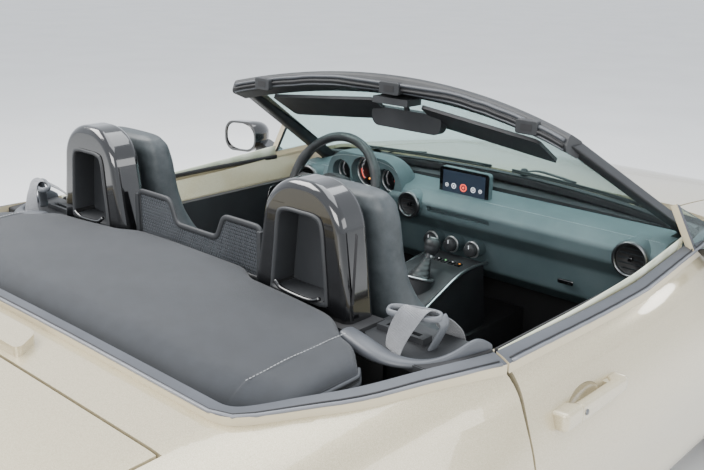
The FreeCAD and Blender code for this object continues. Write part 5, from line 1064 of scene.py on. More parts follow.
# Air vents: a satin ring, an inner drum, vanes and a small thumb wheel
for name, y, z, radius in (("left", 0.590, 0.784, 0.050), ("right", -0.590, 0.784, 0.050),
                           ("centre", 0.150, 0.784, 0.042)):
    front_x = FACE - 0.014
    ring = turned([(radius - 0.010, -0.001), (radius - 0.008, -0.0045), (radius - 0.003, -0.005),
                   (radius + 0.0008, -0.001), (radius + 0.0008, 0.006), (radius - 0.010, 0.006),
                   (radius - 0.010, -0.001)], (front_x, y, z), (1, 0, 0), "ring", 64)
    finish_piece(ring, f"vent_ring_{name}", "root", DARK_SATIN)
    drum = turned([(radius - 0.0095, 0.002), (radius - 0.0125, 0.003), (radius - 0.0140, 0.020),
                   (0.0, 0.0215), (0.0, 0.0235), (radius - 0.0095, 0.0235), (radius - 0.0095, 0.002)],
                  (front_x, y, z), (1, 0, 0), "drum", 48)
    finish_piece(drum, f"vent_drum_{name}", "root", SEAL)
    vanes = []
    for k in (-2, -1, 0, 1, 2):
        dz = k * 0.0135
        half = math.sqrt(max(0.0, (radius - 0.014) ** 2 - dz ** 2))
        if half > 0.008:
            for part in range(-2, 3):
                vanes.append((Vector((front_x + 0.009, y + half * 0.4 * part, z + dz)), (0, 1, 0),
                              (-0.5, 0, 1)))
    repeated(vanes, SLAT, radius * 0.42, f"vent_vanes_{name}", "root", DASH_LOW)
    thumb = outline_slab([(-0.006, -0.006), (0.006, -0.006), (0.006, 0.006), (-0.006, 0.006)], 0, 0.014,
                         "thumb", 0.002)
    for vertex in thumb.vertices:
        a, b, c = vertex.co
        vertex.co = (front_x - 0.001 + c, y + a, z + b)
    finish_piece(thumb, f"vent_thumb_{name}", "root", PIANO, False)
slot_vanes = [(Vector((FACE - 0.002, -0.130 + 0.021 * k, 0.782)), (1, 0, 0),
               (0, 1, 0.0)) for k in range(11)]
repeated(slot_vanes, SLAT, 0.020, "slot_vent_vanes", "root", DASH_LOW)

# Climate knobs with their rings and marks
for k, y in enumerate((-0.062, 0.015, 0.092)):
    at = (FACE + 0.040, y, 0.674)
    knob = turned([(0.0, -0.020), (0.0185, -0.0195), (0.0205, -0.017), (0.0215, -0.002), (0.0250, 0.0),
                   (0.0, 0.0)], at, (1, 0, 0), "knob", 40)
    ring = turned([(0.0216, -0.004), (0.0262, -0.0035), (0.0270, 0.0), (0.0216, 0.0), (0.0216, -0.004)], at,
                  (1, 0, 0), "ring", 48)
    finish_piece(knob, f"climate_knob_{k + 1}", "root", BLACK_TRIM)
    finish_piece(ring, f"climate_ring_{k + 1}", "root", SATIN_SILVER)
    line = outline_slab([(-0.0008, 0.006), (0.0008, 0.006), (0.0008, 0.017), (-0.0008, 0.017)], 0, 0.0006,
                        "mark")
    for vertex in line.vertices:
        a, b, c = vertex.co
        vertex.co = (at[0] - 0.0204 + c, y + a, 0.674 + b)
    finish_piece(line, f"climate_mark_{k + 1}", "root", GLOW_WHITE, False)


# Dash: rows of stitches across the passenger's and the driver's side, and the glove box catch
for label, ends in (("passenger", (-0.640, -0.100)), ("driver", (0.545, 0.640))):
    stitch_line([(FACE + 0.0395, ends[0] + (ends[1] - ends[0]) * k / 30, 0.8312) for k in range(31)],
                f"dash_stitches_{label}", "root", 0.0052, (-0.2, 0, 1))
catch = outline_slab([(-0.395, 0.636), (-0.345, 0.636), (-0.345, 0.650), (-0.395, 0.650)], 0.3845, 0.3895,
                     "catch", 0.003, "yz")
finish_piece(catch, "glove_box_catch", "root", PIANO, False)

# Console: selector boot, knob and ring, handbrake, armrest and controller
boot_loops = []
for k in range(13):
    t = k / 12
    wave = 0.0022 * math.sin(k * 2.4)
    radius = (0.040 - 0.029 * t ** 0.8) + wave
    at = Vector((0.164 + 0.045 * t, -0.010, 0.622 + 0.052 * t))
    boot_loops.append([at + Vector((radius * math.cos(a) * (1 + 0.05 * math.cos(4 * a)),
                                    radius * 0.9 * math.sin(a) * (1 + 0.05 * math.cos(4 * a)), 0))
                       for a in (math.tau * i / 24 for i in range(24))])
boot = modified(skin_loops(boot_loops, "boot"), [("SUBSURF", {"levels": 1, "render_levels": 1})])
boot = finish_piece(boot, "selector_boot", "root", GRIP_HIDE)
collar = turned([(0.041, -0.001), (0.046, 0.0), (0.048, 0.004), (0.045, 0.007), (0.040, 0.006),
                 (0.041, -0.001)], (0.163, -0.010, 0.618), (0.30, 0, 0.95), "collar", 48)
finish_piece(collar, "selector_collar", "root", SATIN_SILVER)
grip = turned([(0.0, -0.030), (0.011, -0.030), (0.0135, -0.022), (0.0215, -0.008), (0.0250, 0.006),
               (0.0240, 0.018), (0.0170, 0.0265), (0.0120, 0.0275), (0.0, 0.0280)], (0.228, -0.008, 0.700),
              (0.30, 0, 0.95), "knob", 40)
finish_piece(grip, "selector_knob", "root", GRIP_HIDE)
tip = turned([(0.0, 0.0), (0.0125, 0.0), (0.0115, 0.0022), (0.0, 0.0026)], Vector((0.228, -0.008, 0.700))
             + Vector((0.30, 0, 0.95)).normalized() * 0.0265, (0.30, 0, 0.95), "tip", 28)
finish_piece(tip, "selector_cap", "root", SATIN_SILVER)
neck = turned([(0.0125, 0.0), (0.0140, 0.002), (0.0140, 0.009), (0.0120, 0.011), (0.0125, 0.0)],
              Vector((0.228, -0.008, 0.700)) - Vector((0.30, 0, 0.95)).normalized() * 0.034,
              (0.30, 0, 0.95), "neck", 28)
finish_piece(neck, "selector_neck_ring", "root", SATIN_SILVER)

brake_line = smooth_line([(-0.052, 0.060, 0.553), (0.000, 0.060, 0.585), (0.050, 0.060, 0.615),
                          (0.094, 0.060, 0.643)], 6)
sleeve_loops = []
for i, (point, _, across, over) in enumerate(frames_along(brake_line)):
    t = i / (len(brake_line) - 1)
    r = 0.0150 + 0.0030 * math.sin(math.pi * t) ** 2
    sleeve_loops.append([point + across * r * 0.85 * math.cos(a) + over * r * math.sin(a)
                         for a in (math.tau * k / 16 for k in range(16))])
finish_piece(skin_loops(sleeve_loops, "sleeve"), "handbrake_sleeve", "root", GRIP_HIDE)
brake_way = (brake_line[-1] - brake_line[-3]).normalized()
button = turned([(0.0105, 0.0), (0.0105, 0.004), (0.0060, 0.0045), (0.0060, 0.012), (0.0, 0.013)],
                brake_line[-1], brake_way, "button", 24)
finish_piece(button, "handbrake_button", "root", SATIN_SILVER)
stitch_line([p + Vector((0, 0, -0.0168)) for p in brake_line[2:-2]], "handbrake_stitches", "root",
            0.0042, (0, 0, -1))

rest_outline = [(p.x, p.y) for p in rounded_outline([(-0.556, -0.088), (-0.425, -0.088), (-0.425, 0.088),
                                                     (-0.556, 0.088)], 0.022, 5)]
rest_loops = []
for share, z in ((0.90, 0.600), (1.0, 0.603), (1.0, 0.618), (0.955, 0.628), (0.80, 0.632), (0.4, 0.634),
                 (0.04, 0.6345)):
    rest_loops.append([Vector((-0.4905 + (x + 0.4905) * share, y * share, z)) for x, y in rest_outline])
rest_pad = modified(skin_loops(rest_loops, "rest"), [("SUBSURF", {"levels": 1, "render_levels": 1})])
rest_piece = finish_piece(filled(rest_pad, 1.6, 0.003), "console_armrest", "root", SEAT_HIDE)
for flip in (-1, 1):
    stitch_line([(-0.545 + 0.011 * k, flip * 0.070, 0.6308) for k in range(11)],
                f"armrest_stitches_{flip + 1}", "root", 0.0046)
dial = turned([(0.0, 0.0), (0.027, 0.0), (0.027, 0.008), (0.0225, 0.012), (0.0215, 0.024), (0.0190, 0.0262),
               (0.0, 0.0250)], (-0.055, -0.022, 0.5465), (0.1, 0, 1), "controller", 48)
finish_piece(dial, "controller_knob", "root", PIANO)
ring = turned([(0.0272, 0.001), (0.0300, 0.002), (0.0310, 0.005), (0.0290, 0.0075), (0.0270, 0.0065),
               (0.0272, 0.001)], (-0.055, -0.022, 0.5465), (0.1, 0, 1), "ring", 48)
finish_piece(ring, "controller_ring", "root", SATIN_SILVER)
keys = []
for x, y in [(-0.008, -0.045), (-0.008, -0.010), (-0.102, -0.045), (-0.102, -0.010), (-0.055, -0.070)]:
    keys.append(outline_slab([(x - 0.010, y - 0.013), (x + 0.010, y - 0.013), (x + 0.010, y + 0.013),
                              (x - 0.010, y + 0.013)], 0.5455, 0.5545, "key", 0.0025))
finish_piece(join(keys, "keys"), "controller_keys", "root", PIANO, False)
for k, (y, glow) in enumerate([(-0.052, GLOW_AMBER), (-0.026, GLOW_WHITE), (0.0, GLOW_GREEN),
                               (0.026, GLOW_WHITE)]):
    key = outline_slab([(0.296, y - 0.0095), (0.318, y - 0.0095), (0.318, y + 0.0095), (0.296, y + 0.0095)],
                       0.6305, 0.6370, "switch", 0.0018)
    lamp = turned([(0.0, 0.0), (0.0024, 0.0), (0.0020, 0.0007), (0.0, 0.0007)], (0.312, y, 0.6369),
                  (0, 0, 1), "lamp", 12)
    finish_piece(key, f"console_switch_{k + 1}", "root", PIANO, False)
    finish_piece(lamp, f"console_lamp_{k + 1}", "root", glow)
for side in (-1, 1):
    line = smooth_line([(0.400, side * 0.0915, 0.630), (0.330, side * 0.0925, 0.634),
                        (0.245, side * 0.0925, 0.623), (0.150, side * 0.0925, 0.586),
                        (0.062, side * 0.0925, 0.556), (-0.110, side * 0.0925, 0.541)], 6)
    rail = sweep(line, ring_section(0.0048, 10), "rail")
    finish_piece(rail, f"console_rail_{'left' if side > 0 else 'right'}", "root", SATIN_SILVER)
for k, x in enumerate((-0.250, -0.340)):
    rim = turned([(0.0345, -0.002), (0.0360, 0.001), (0.0385, 0.0022), (0.0400, 0.0008), (0.0400, -0.003),
                  (0.0345, -0.002)], (x, 0, 0.5905 + (0.0035 if k else 0.0)), (-0.06, 0, 1), "rim", 48)
    finish_piece(rim, f"cup_rim_{k + 1}", "root", SATIN_SILVER)

# Under the header: the cabin mirror's face
mirror_plane = outline_slab([(p.x, p.y) for p in rounded_outline([(-0.112, 1.074), (0.112, 1.074),
        (0.117, 1.119), (-0.117, 1.119)], 0.016, 4)], 0.1112, 0.1124, "face", 0.0, "yz")
finish_piece(mirror_plane, "cabin_mirror_face", "root", MIRROR_SILVER, False)

# Belts: webbing from the guide down beside each seat, and the buckle by the console
for side, word in ((1, "left"), (-1, "right")):
    run = smooth_line([(-0.700, side * 0.618, 0.861), (-0.697, side * 0.622, 0.885),
                       (-0.689, side * 0.630, 0.912), (-0.675, side * 0.638, 0.9335),
                       (-0.656, side * 0.642, 0.9375), (-0.634, side * 0.645, 0.926),
                       (-0.590, side * 0.648, 0.896), (-0.556, side * 0.648, 0.856),
                       (-0.546, side * 0.645, 0.790), (-0.520, side * 0.634, 0.560),
                       (-0.485, side * 0.628, 0.350), (-0.470, side * 0.630, 0.262)], 6)
    loops = []
    for i, point in enumerate(run):
        along = (run[min(i + 1, len(run) - 1)] - run[max(i - 1, 0)]).normalized()
        turn = min(1.0, i / 20) * 0.7 - 0.35 if i < 40 else 0.35 * max(-0.3, 1 - (i - 40) / 12)
        wide = Vector((turn, side * 0.94, 0.0))
        wide = (wide - along * wide.dot(along)).normalized() * 0.0235
        thick = wide.cross(along).normalized() * 0.0007
        loops.append([point - wide - thick, point + wide - thick, point + wide + thick,
                      point - wide + thick])
    finish_piece(skin_loops(loops, "strap"), f"belt_webbing_{word}", "root", WEBBING, False)
    ring = []
    for k in range(28):
        a = math.tau * k / 28
        far = 0.049 * math.copysign(abs(math.cos(a)) ** 0.55, math.cos(a))
        deep = 0.0135 * math.copysign(abs(math.sin(a)) ** 0.7, math.sin(a))
        ring.append(Vector((-0.657 + 0.35 * far + 0.94 * deep, side * (0.6315 + 0.94 * far - 0.35 * deep),
                            0.927 + 0.18 * deep)))
    bar = sweep(ring, [(0.0042 * math.cos(math.tau * k / 12),
                        0.0066 * math.sin(math.tau * k / 12)) for k in range(12)], "bar", True)
    horn = sweep(smooth_line([(-0.6395, side * 0.678, 0.928), (-0.634, side * 0.682, 0.912),
                              (-0.636, side * 0.672, 0.886), (-0.640, side * 0.660, 0.858)], 5),
                 [(-0.012, -0.0035), (0.012, -0.0035), (0.0135, 0.0), (0.012, 0.0035), (-0.012, 0.0035),
                  (-0.0135, 0.0)], "horn", up=Vector((0, 1, 0)))
    horn = modified(horn, [("SUBSURF", {"levels": 1, "render_levels": 1})])
    finish_piece(join([bar, horn], "guide"), f"belt_guide_{word}", "root", GUIDE_GREY)
    tongue = outline_slab([(0, -0.024), (0.062, -0.024), (0.070, -0.012), (0.070, 0.012), (0.062, 0.024),
                           (0, 0.024)], 0, 0.004, "tongue", 0.0015)
    for vertex in tongue.vertices:
        a, b, c = vertex.co
        vertex.co = (-0.566 + b, side * (0.6075 + c), 0.690 + a)
    finish_piece(tongue, f"belt_tongue_{word}", "root", SATIN_SILVER, False)
    buckle = outline_slab([(-0.300, 0.440), (-0.268, 0.440), (-0.262, 0.525), (-0.306, 0.525)],
                          side * 0.101, side * 0.118, "buckle", 0.004, "xz")
    stalk = sweep([(-0.300, side * 0.112, 0.290), (-0.292, side * 0.110, 0.370),
                   (-0.284, side * 0.109, 0.445)], [(-0.010, -0.003), (0.010, -0.003), (0.010, 0.003),
                                                    (-0.010, 0.003)], "stalk", up=Vector((0, 1, 0)))
    # The red release button glows like the needles: a painted glow, as the button holds no lamp.
    glowing_press = outline_slab([(-0.298, 0.5235), (-0.270, 0.5235), (-0.270, 0.5280), (-0.298, 0.5280)],
                         side * 0.104, side * 0.115, "glowing_press", 0.001, "xz")
    finish_piece(join([buckle, stalk], "buckle"), f"belt_buckle_{word}", "root", BLACK_TRIM,
                 False)
    finish_piece(glowing_press, f"belt_release_painted_glow_{word}", "root", GLOW_RED, False)

# Doors: card details, the pull, speaker, switch pack, mirror face and seals
CARD_Y = 0.6777
DOOR_STATIONS = [-0.540 + 0.824 * k / 24 for k in range(25)]


def rail_inner(x):
    """How far out the inner edge of the door's belt moulding lies."""
    marks = [(-0.546, 0.744), (0.0, 0.748), (0.350, 0.730)]
    for (xa, ya), (xb, yb) in zip(marks, marks[1:]):
        if x <= xb:
            return ya + (yb - ya) * (x - xa) / (xb - xa)
    return marks[-1][1]


for side, word in ((1, "left"), (-1, "right")):
    body = f"door_{word}"

    def at(x, y, z):
        return Vector((x, side * y, z))

    bowl = [(p.x, p.y) for p in rounded_outline([(0.190, 0.711), (0.444, 0.711), (0.470, 0.762),
                                                 (0.208, 0.762)], 0.014, 5)]
    frame_loops = []
    for share, y in ((1.0, CARD_Y + 0.001), (1.02, CARD_Y - 0.003), (0.99, CARD_Y - 0.006),
                     (0.955, CARD_Y - 0.004), (0.945, CARD_Y + 0.001)):
        frame_loops.append([at(0.328 + (x - 0.328) * share, y,
                               0.7365 + (z - 0.7365) * (share * 1.5 - 0.5)) for x, z in bowl])
    surround = skin_loops(frame_loops + [frame_loops[0]], "surround", caps=False)
    finish_piece(surround, f"pull_surround_{word}", body, PIANO)
    lever = sweep(smooth_line([at(0.250, 0.690, 0.736), at(0.300, 0.683, 0.740), at(0.360, 0.682, 0.742),
                               at(0.425, 0.690, 0.740)], 6), ring_section(0.007, 10, 1.4), "lever")
    finish_piece(lever, f"release_lever_{word}", body, SATIN_SILVER)
    holes = []
    for ring_at in range(1, 8):
        for k in range(ring_at * 6):
            a = math.tau * k / (ring_at * 6)
            holes.append((at(0.315 + 0.0098 * ring_at * math.cos(a), CARD_Y - 0.0050,
                             0.462 + 0.0098 * ring_at * math.sin(a)), (0, -side, 0), (0, 0, 1)))
    plate = turned([(0.0, -0.004), (0.076, -0.004), (0.080, -0.002), (0.081, 0.002), (0.0, 0.002)],
                   at(0.315, CARD_Y - 0.0008, 0.462), (0, side, 0), "grille", 56)
    finish_piece(plate, f"speaker_cover_{word}", body, CARD_BLACK)
    repeated(holes, BOLT, 0.0052, f"speaker_holes_{word}", body, SEAL)
    pack = outline_slab([(-0.060, 0.5955), (0.075, 0.6000), (0.075, 0.6060), (-0.060, 0.6020)],
                        side * 0.640, side * 0.672, "pack", 0.002, "xz")
    finish_piece(pack, f"switch_plate_{word}", body, PIANO, False)
    rockers = [outline_slab([(x, 0.6040), (x + 0.030, 0.6050), (x + 0.024, 0.6120), (x + 0.004, 0.6105)],
                            side * y, side * (y + 0.012), "rocker", 0.0015, "xz") for x in (-0.040,
            0.030) for y in (0.643, 0.658)]
    finish_piece(join(rockers, "rockers"), f"window_switches_{word}", body, BLACK_TRIM, False)
    stitch_line([at(-0.330 + 0.52 * k / 30, 0.6375, 0.5915 + 0.013 * k / 30) for k in range(31)],
                f"armrest_seam_{word}", body, 0.0050, (0, -side, 0.3))
    lip = sweep([at(x, rail_inner(x) - 0.012, 0.852) for x in DOOR_STATIONS],
                [(-0.002, -0.012), (0.002, -0.012), (0.0025, 0.000), (0.0, 0.002), (-0.0025, 0.000)], "lip")
    finish_piece(lip, f"belt_seal_{word}", body, SEAL)
    # The top edge of the lowered side glass: its opaque pale colour is partly the glass's tint, partly a
    # painted reflection.
    pane = []
    for x in DOOR_STATIONS:
        top = 0.8545 + 0.030 * max(0.0, (x + 0.30) / 0.58) ** 1.6
        y = rail_inner(x) - 0.0045
        pane.append([at(x, y - 0.0017, 0.838), at(x, y - 0.0017, top - 0.0012), at(x, y, top),
                     at(x, y + 0.0017, top - 0.0012), at(x, y + 0.0017, 0.838)])
    finish_piece(skin_loops(pane, "pane"), f"side_glass_edge_painted_reflection_{word}", body, GLASS_EDGE_AND_REFLECTION)
    face = []
    for k in range(40):
        a = math.tau * k / 40
        face.append((0.071 * math.copysign(abs(math.cos(a)) ** 0.8, math.cos(a)),
                     0.047 * math.copysign(abs(math.sin(a)) ** 0.8, math.sin(a))))
    glass = outline_slab([(side * (0.8975 + y), 0.894 + z) for y, z in face], 0.2735, 0.2750, "mirror_face",
                         0.0, "yz")
    finish_piece(glass, f"mirror_face_{word}", body, MIRROR_SILVER, False)

# Seals along the sills
for side, word in ((1, "left"), (-1, "right")):
    sill_seal = smooth_line([(-0.545, side * 0.690, 0.240), (-0.30, side * 0.694, 0.238),
                             (0.10, side * 0.694, 0.238), (0.44, side * 0.690, 0.240)], 6)
    finish_piece(sweep(sill_seal, ring_section(0.006, 8), "seal"), f"sill_seal_{word}", "root",
                 SEAL)


# Wheels: tread, side ribs, disc, bolts, valve and cap, all turning with the wheel
def spread(count, radius, turn=0.0):
    """Angles and places of things set evenly round a wheel."""
    for k in range(count):
        angle = math.tau * k / count + turn
        yield angle, radius * math.cos(angle), radius * math.sin(angle)


WHEELS = [(f"{end}_{hand}", f"wheel_{end}_{hand}") for end in ("front", "rear") for hand in ("left",
        "right")]
for word, body in WHEELS:
    low, high = (Vector(corner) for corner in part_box(f"tyre_{word}"))
    hub = (low + high) / 2
    radius = (high.z - low.z) / 2
    out = 1 if hub.y > 0 else -1

    def beside(x, y, z):
        """A place near the wheel: y runs outwards from its middle plane."""
        return Vector((hub.x + x, hub.y + out * y, hub.z + z))

    blocks = []
    for row, (y, count, lag) in enumerate([(-0.060, 72, 0.0), (-0.031, 60, 0.5), (0.0, 60, 0.2),
                                           (0.031, 60, 0.7), (0.060, 72, 0.3)]):
        for angle, x, z in spread(count, radius - 0.0026, lag / count):
            blocks.append((beside(x, y, z), (-math.sin(angle), 0.14 * (row - 2), math.cos(angle)),
                           (math.cos(angle), 0, math.sin(angle))))
    repeated(blocks, BLOCK, 0.0205, f"tread_{word}", body, RUBBER)
    ribs = [turned([(r - 0.0016, -0.002), (r, 0.0010), (r + 0.0016, -0.002), (r - 0.0016, -0.002)],
                   beside(0, y, 0), (0, out, 0), "rib", 96) for r,
            y in ((0.240, 0.1010), (0.262, 0.1022), (0.286, 0.0980))]
    finish_piece(join(ribs, "ribs"), f"tyre_ribs_{word}", body, RUBBER)
    nuts = [(beside(x, 0.0565, z), (0, out, 0), (math.cos(a), 0, math.sin(a))) for a, x,
            z in spread(4, 0.047, 0.4)]
    repeated(nuts, BOLT, 0.019, f"wheel_nuts_{word}", body, STEEL)
    cap = turned([(0.0, 0.052), (0.0285, 0.052), (0.0285, 0.0575), (0.0250, 0.0600), (0.012, 0.0612),
                  (0.0, 0.0614)], beside(0, 0, 0), (0, out, 0), "cap", 40)
    finish_piece(cap, f"wheel_cap_{word}", body, SATIN_SILVER)
    ring = turned([(0.0625, 0.0114), (0.1385, 0.0114), (0.1402, 0.0106), (0.1402, -0.0106),
                   (0.1385, -0.0114), (0.0625, -0.0114), (0.0625, 0.0114)], beside(0, 0, 0), (0, out, 0),
                  "disc", 72)
    finish_piece(ring, f"brake_disc_face_{word}", body, DISC_STEEL)
    stem = sweep([beside(0.182, 0.050, 0.012), beside(0.180, 0.062, 0.012), beside(0.176, 0.074, 0.012)],
                 ring_section(0.0034, 10), "valve")
    finish_piece(stem, f"wheel_valve_{word}", body, SEAL)


# Lamps, wipers and other outside fittings, set on the surface that carries them
def on_node(node, start, way):
    """Where a line first meets a carried-over node, and the surface direction there."""
    held = NODES[node]
    back = held.matrix_world.inverted()
    way = Vector(way).normalized()
    found, point, normal, _ = held.ray_cast(back @ Vector(start), (back.to_3x3() @ way).normalized())
    if not found:
        return None, None
    normal = (held.matrix_world.to_3x3() @ normal).normalized()
    return held.matrix_world @ point, normal if normal.dot(way) < 0 else -normal


def shrunk(node, depth, name, side):
    """The body of a lamp unit: its node drawn in on all sides, one side of the car only."""
    bm = bmesh.new()
    held = NODES[node]
    bm.from_mesh(held.data)
    bm.transform(held.matrix_world)
    for vertex in [v for v in bm.verts if v.co.y * side < 0]:
        bm.verts.remove(vertex)
    bmesh.ops.remove_doubles(bm, verts=bm.verts, dist=1e-5)
    bm.normal_update()
    moved = [(v, v.co - v.normal * depth) for v in bm.verts]
    for vertex, place_to in moved:
        vertex.co = place_to
    return mesh_from(bm, name, 0, False)


RAIL_STEP, RAIL_FINE = 0.004, 0.0005


def rail_line(node, places, inset):
    """Points on a moulding's upper face, a set way in from its edge, found along (start, inward) lines."""
    line = []
    for start, inward in places:
        start, inward = Vector((*start, 2.0)), Vector((*inward, 0.0))
        step = 0
        while step < 120 and not on_node(node, start + inward * RAIL_STEP * step, (0, 0, -1))[0]:
            step += 1
        coarse, fine = RAIL_STEP * (step - 1), 0
        while fine < 12 and not on_node(node, start + inward * (coarse + RAIL_FINE * fine), (0, 0, -1))[0]:
            fine += 1
        point, _ = on_node(node, start + inward * (coarse + RAIL_FINE * fine + inset), (0, 0, -1))
        if point and point.z > 0.80:
            line.append(point)
    return line


def rail_beads(node, places, word, body):
    """A rolled edge along the outer edge of a moulding, its pale tone a painted highlight, and beside it a
    thin black line: painted shade for a groove.
    """
    for label, inset, radius, made in (("edge", 0.0020, 0.0034, RAIL_EDGE_HIGHLIGHT),
                                       ("groove", 0.0085, 0.0019, SEAL)):
        line = rail_line(node, places, inset)
        if len(line) > 6:
            finish_piece(sweep(line, ring_section(radius, 8), label), f"rail_{label}_{word}", body,
                         made)


around = [((-0.60 - 0.92 * math.cos(a), 0.92 * math.sin(a)), (math.cos(a), -math.sin(a)))
          for a in (math.radians(-84 + 168 * k / 64) for k in range(65))]
before = [((x, -0.92), (0, 1)) for x in (-0.548, -0.553, -0.562, -0.575)]
after = [((x, 0.92), (0, -1)) for x in (-0.575, -0.562, -0.553, -0.548)]
rail_beads("deck_moulding", before + around + after, "deck", "root")
for side, word in ((1, "left"), (-1, "right")):
    rail_beads(f"door_trim_{word}", [((-0.544 + 0.976 * k / 60, side * 0.92),
                                      (0, -side)) for k in range(61)], word, f"door_{word}")


# Quarter trim: a shoulder that runs from the hoop down into a dip and up to a crest at the door
TRIM_TOP = 0.860
SHOULDER = [
    # x, y, z, half width
    (-0.720, 0.522, 0.888, 0.020), (-0.726, 0.560, 0.885, 0.022), (-0.728, 0.600, 0.877, 0.022),
    (-0.722, 0.640, 0.869, 0.018), (-0.702, 0.676, 0.866, 0.011), (-0.674, 0.697, 0.867, 0.007),
    (-0.642, 0.710, 0.873, 0.006), (-0.604, 0.722, 0.886, 0.0055),
    (-0.582, 0.728, 0.884, 0.0055), (-0.556, 0.733, 0.868, 0.005)]
for side, word in ((1, "left"), (-1, "right")):
    line = smooth_line([(x, side * y, z) for x, y, z, _ in SHOULDER], 4)
    loops = []
    for i, (point, _, across, _) in enumerate(frames_along(line)):
        t = min(i / 4, len(SHOULDER) - 1.001)
        half = SHOULDER[int(t)][3] + (SHOULDER[int(t) + 1][3] - SHOULDER[int(t)][3]) * (t - int(t))
        foot = TRIM_TOP - 0.010 - point.z
        profile = [(-half - 0.001, foot), (-half, -0.008), (-half * 0.72, -0.0016), (0, 0),
                   (half * 0.72, -0.0016), (half, -0.008), (half + 0.001, foot)]
        loops.append([point + across * a + Vector((0, 0, b)) for a, b in profile])
    shoulder = modified(skin_loops(loops, "shoulder"), [("SUBSURF", {"levels": 1, "render_levels": 1})])
    finish_piece(shoulder, f"quarter_shoulder_{word}", "root", SHOULDER_GREY)
    # A thin black sheet laid just over the trim between the shoulder and the belt moulding: painted shade,
    # standing in for the shadow in the recess there.
    shade_sheet = []
    for i, (point, _, _, _) in enumerate(frames_along(line)):
        if i >= 14:
            x = min(point.x, -0.567)
            near = abs(point.y) + 0.002
            far = max(near + 0.002, 0.716 + 0.026 * max(0.0, (x + 0.700) / 0.133))
            shade_sheet.append([Vector((x, side * y, TRIM_TOP + rise)) for y, rise in
                         ((near, -0.0010), (near, 0.0012), (far, 0.0012), (far, -0.0010))])
    finish_piece(skin_loops(shade_sheet, "shade_sheet"), f"quarter_painted_shade_{word}", "root", SEAL, False)

# Door handles: a rounded cover on each grip in two parts, the groove between them and a lock
HANDLE_REAR, HANDLE_FRONT, HANDLE_SPLIT = -0.4735, -0.2190, -0.4120
HANDLE_Z = 0.714
HANDLE_ROUNDING = 0.012
for side, word in ((1, "left"), (-1, "right")):
    face, _ = on_node(f"door_{word}", (-0.356, side * 1.5, HANDLE_Z), (0, -side, 0))

    def handle_loop(x, shrink=0.0):
        """The cover's section at a station: round at both ends, open behind the grip."""
        t = (x - HANDLE_REAR) / (HANDLE_FRONT - HANDLE_REAR)
        near_end = min(x - HANDLE_REAR, HANDLE_FRONT - x, HANDLE_ROUNDING) / HANDLE_ROUNDING
        swell = math.sqrt(max(0.0, 1 - (1 - near_end) ** 2))
        outer = abs(face.y) - 0.010 + 0.0130 * swell - shrink
        free = max(0.0, min(1.0, (x + 0.424) / 0.012, (-0.252 - x) / 0.012))
        inner = abs(face.y) - 0.034 + 0.0155 * free
        half = (0.0195 - 0.0045 * t) * (0.70 + 0.30 * swell) - shrink
        middle = HANDLE_Z - 0.0020 * t
        ring = []
        for k in range(28):
            a = math.tau * k / 28
            y = (outer + inner) / 2 + (outer - inner) / 2 * math.copysign(abs(math.cos(a)) ** 0.36,
                    math.cos(a))
            z = middle + half * math.copysign(abs(math.sin(a)) ** 0.36, math.sin(a))
            ring.append(Vector((x, side * y, z)))
        return ring

    def handle_part(low, high, name):
        steps = [low + (high - low) * (1 - math.cos(math.pi * k / 30)) / 2 for k in range(31)]
        return skin_loops([handle_loop(x) for x in steps], name)

    finish_piece(handle_part(HANDLE_REAR, HANDLE_SPLIT - 0.0014, "cap"), f"handle_cap_{word}",
                 f"door_{word}", PAINT)
    finish_piece(handle_part(HANDLE_SPLIT + 0.0014, HANDLE_FRONT, "grip"), f"handle_grip_{word}",
                 f"door_{word}", PAINT)
    groove = skin_loops([handle_loop(HANDLE_SPLIT - 0.0022, 0.0014),
                         handle_loop(HANDLE_SPLIT + 0.0022, 0.0014)], "groove")
    finish_piece(groove, f"handle_groove_{word}", f"door_{word}", SEAL)
    lock = turned([(0.0, 0.0), (0.0062, 0.0), (0.0062, 0.0046), (0.0054, 0.0052), (0.0, 0.0052)],
                  (HANDLE_SPLIT + 0.014, face.y, HANDLE_Z), (0, side, 0), "lock", 24)
    finish_piece(lock, f"handle_lock_{word}", f"door_{word}", DARK_SATIN)

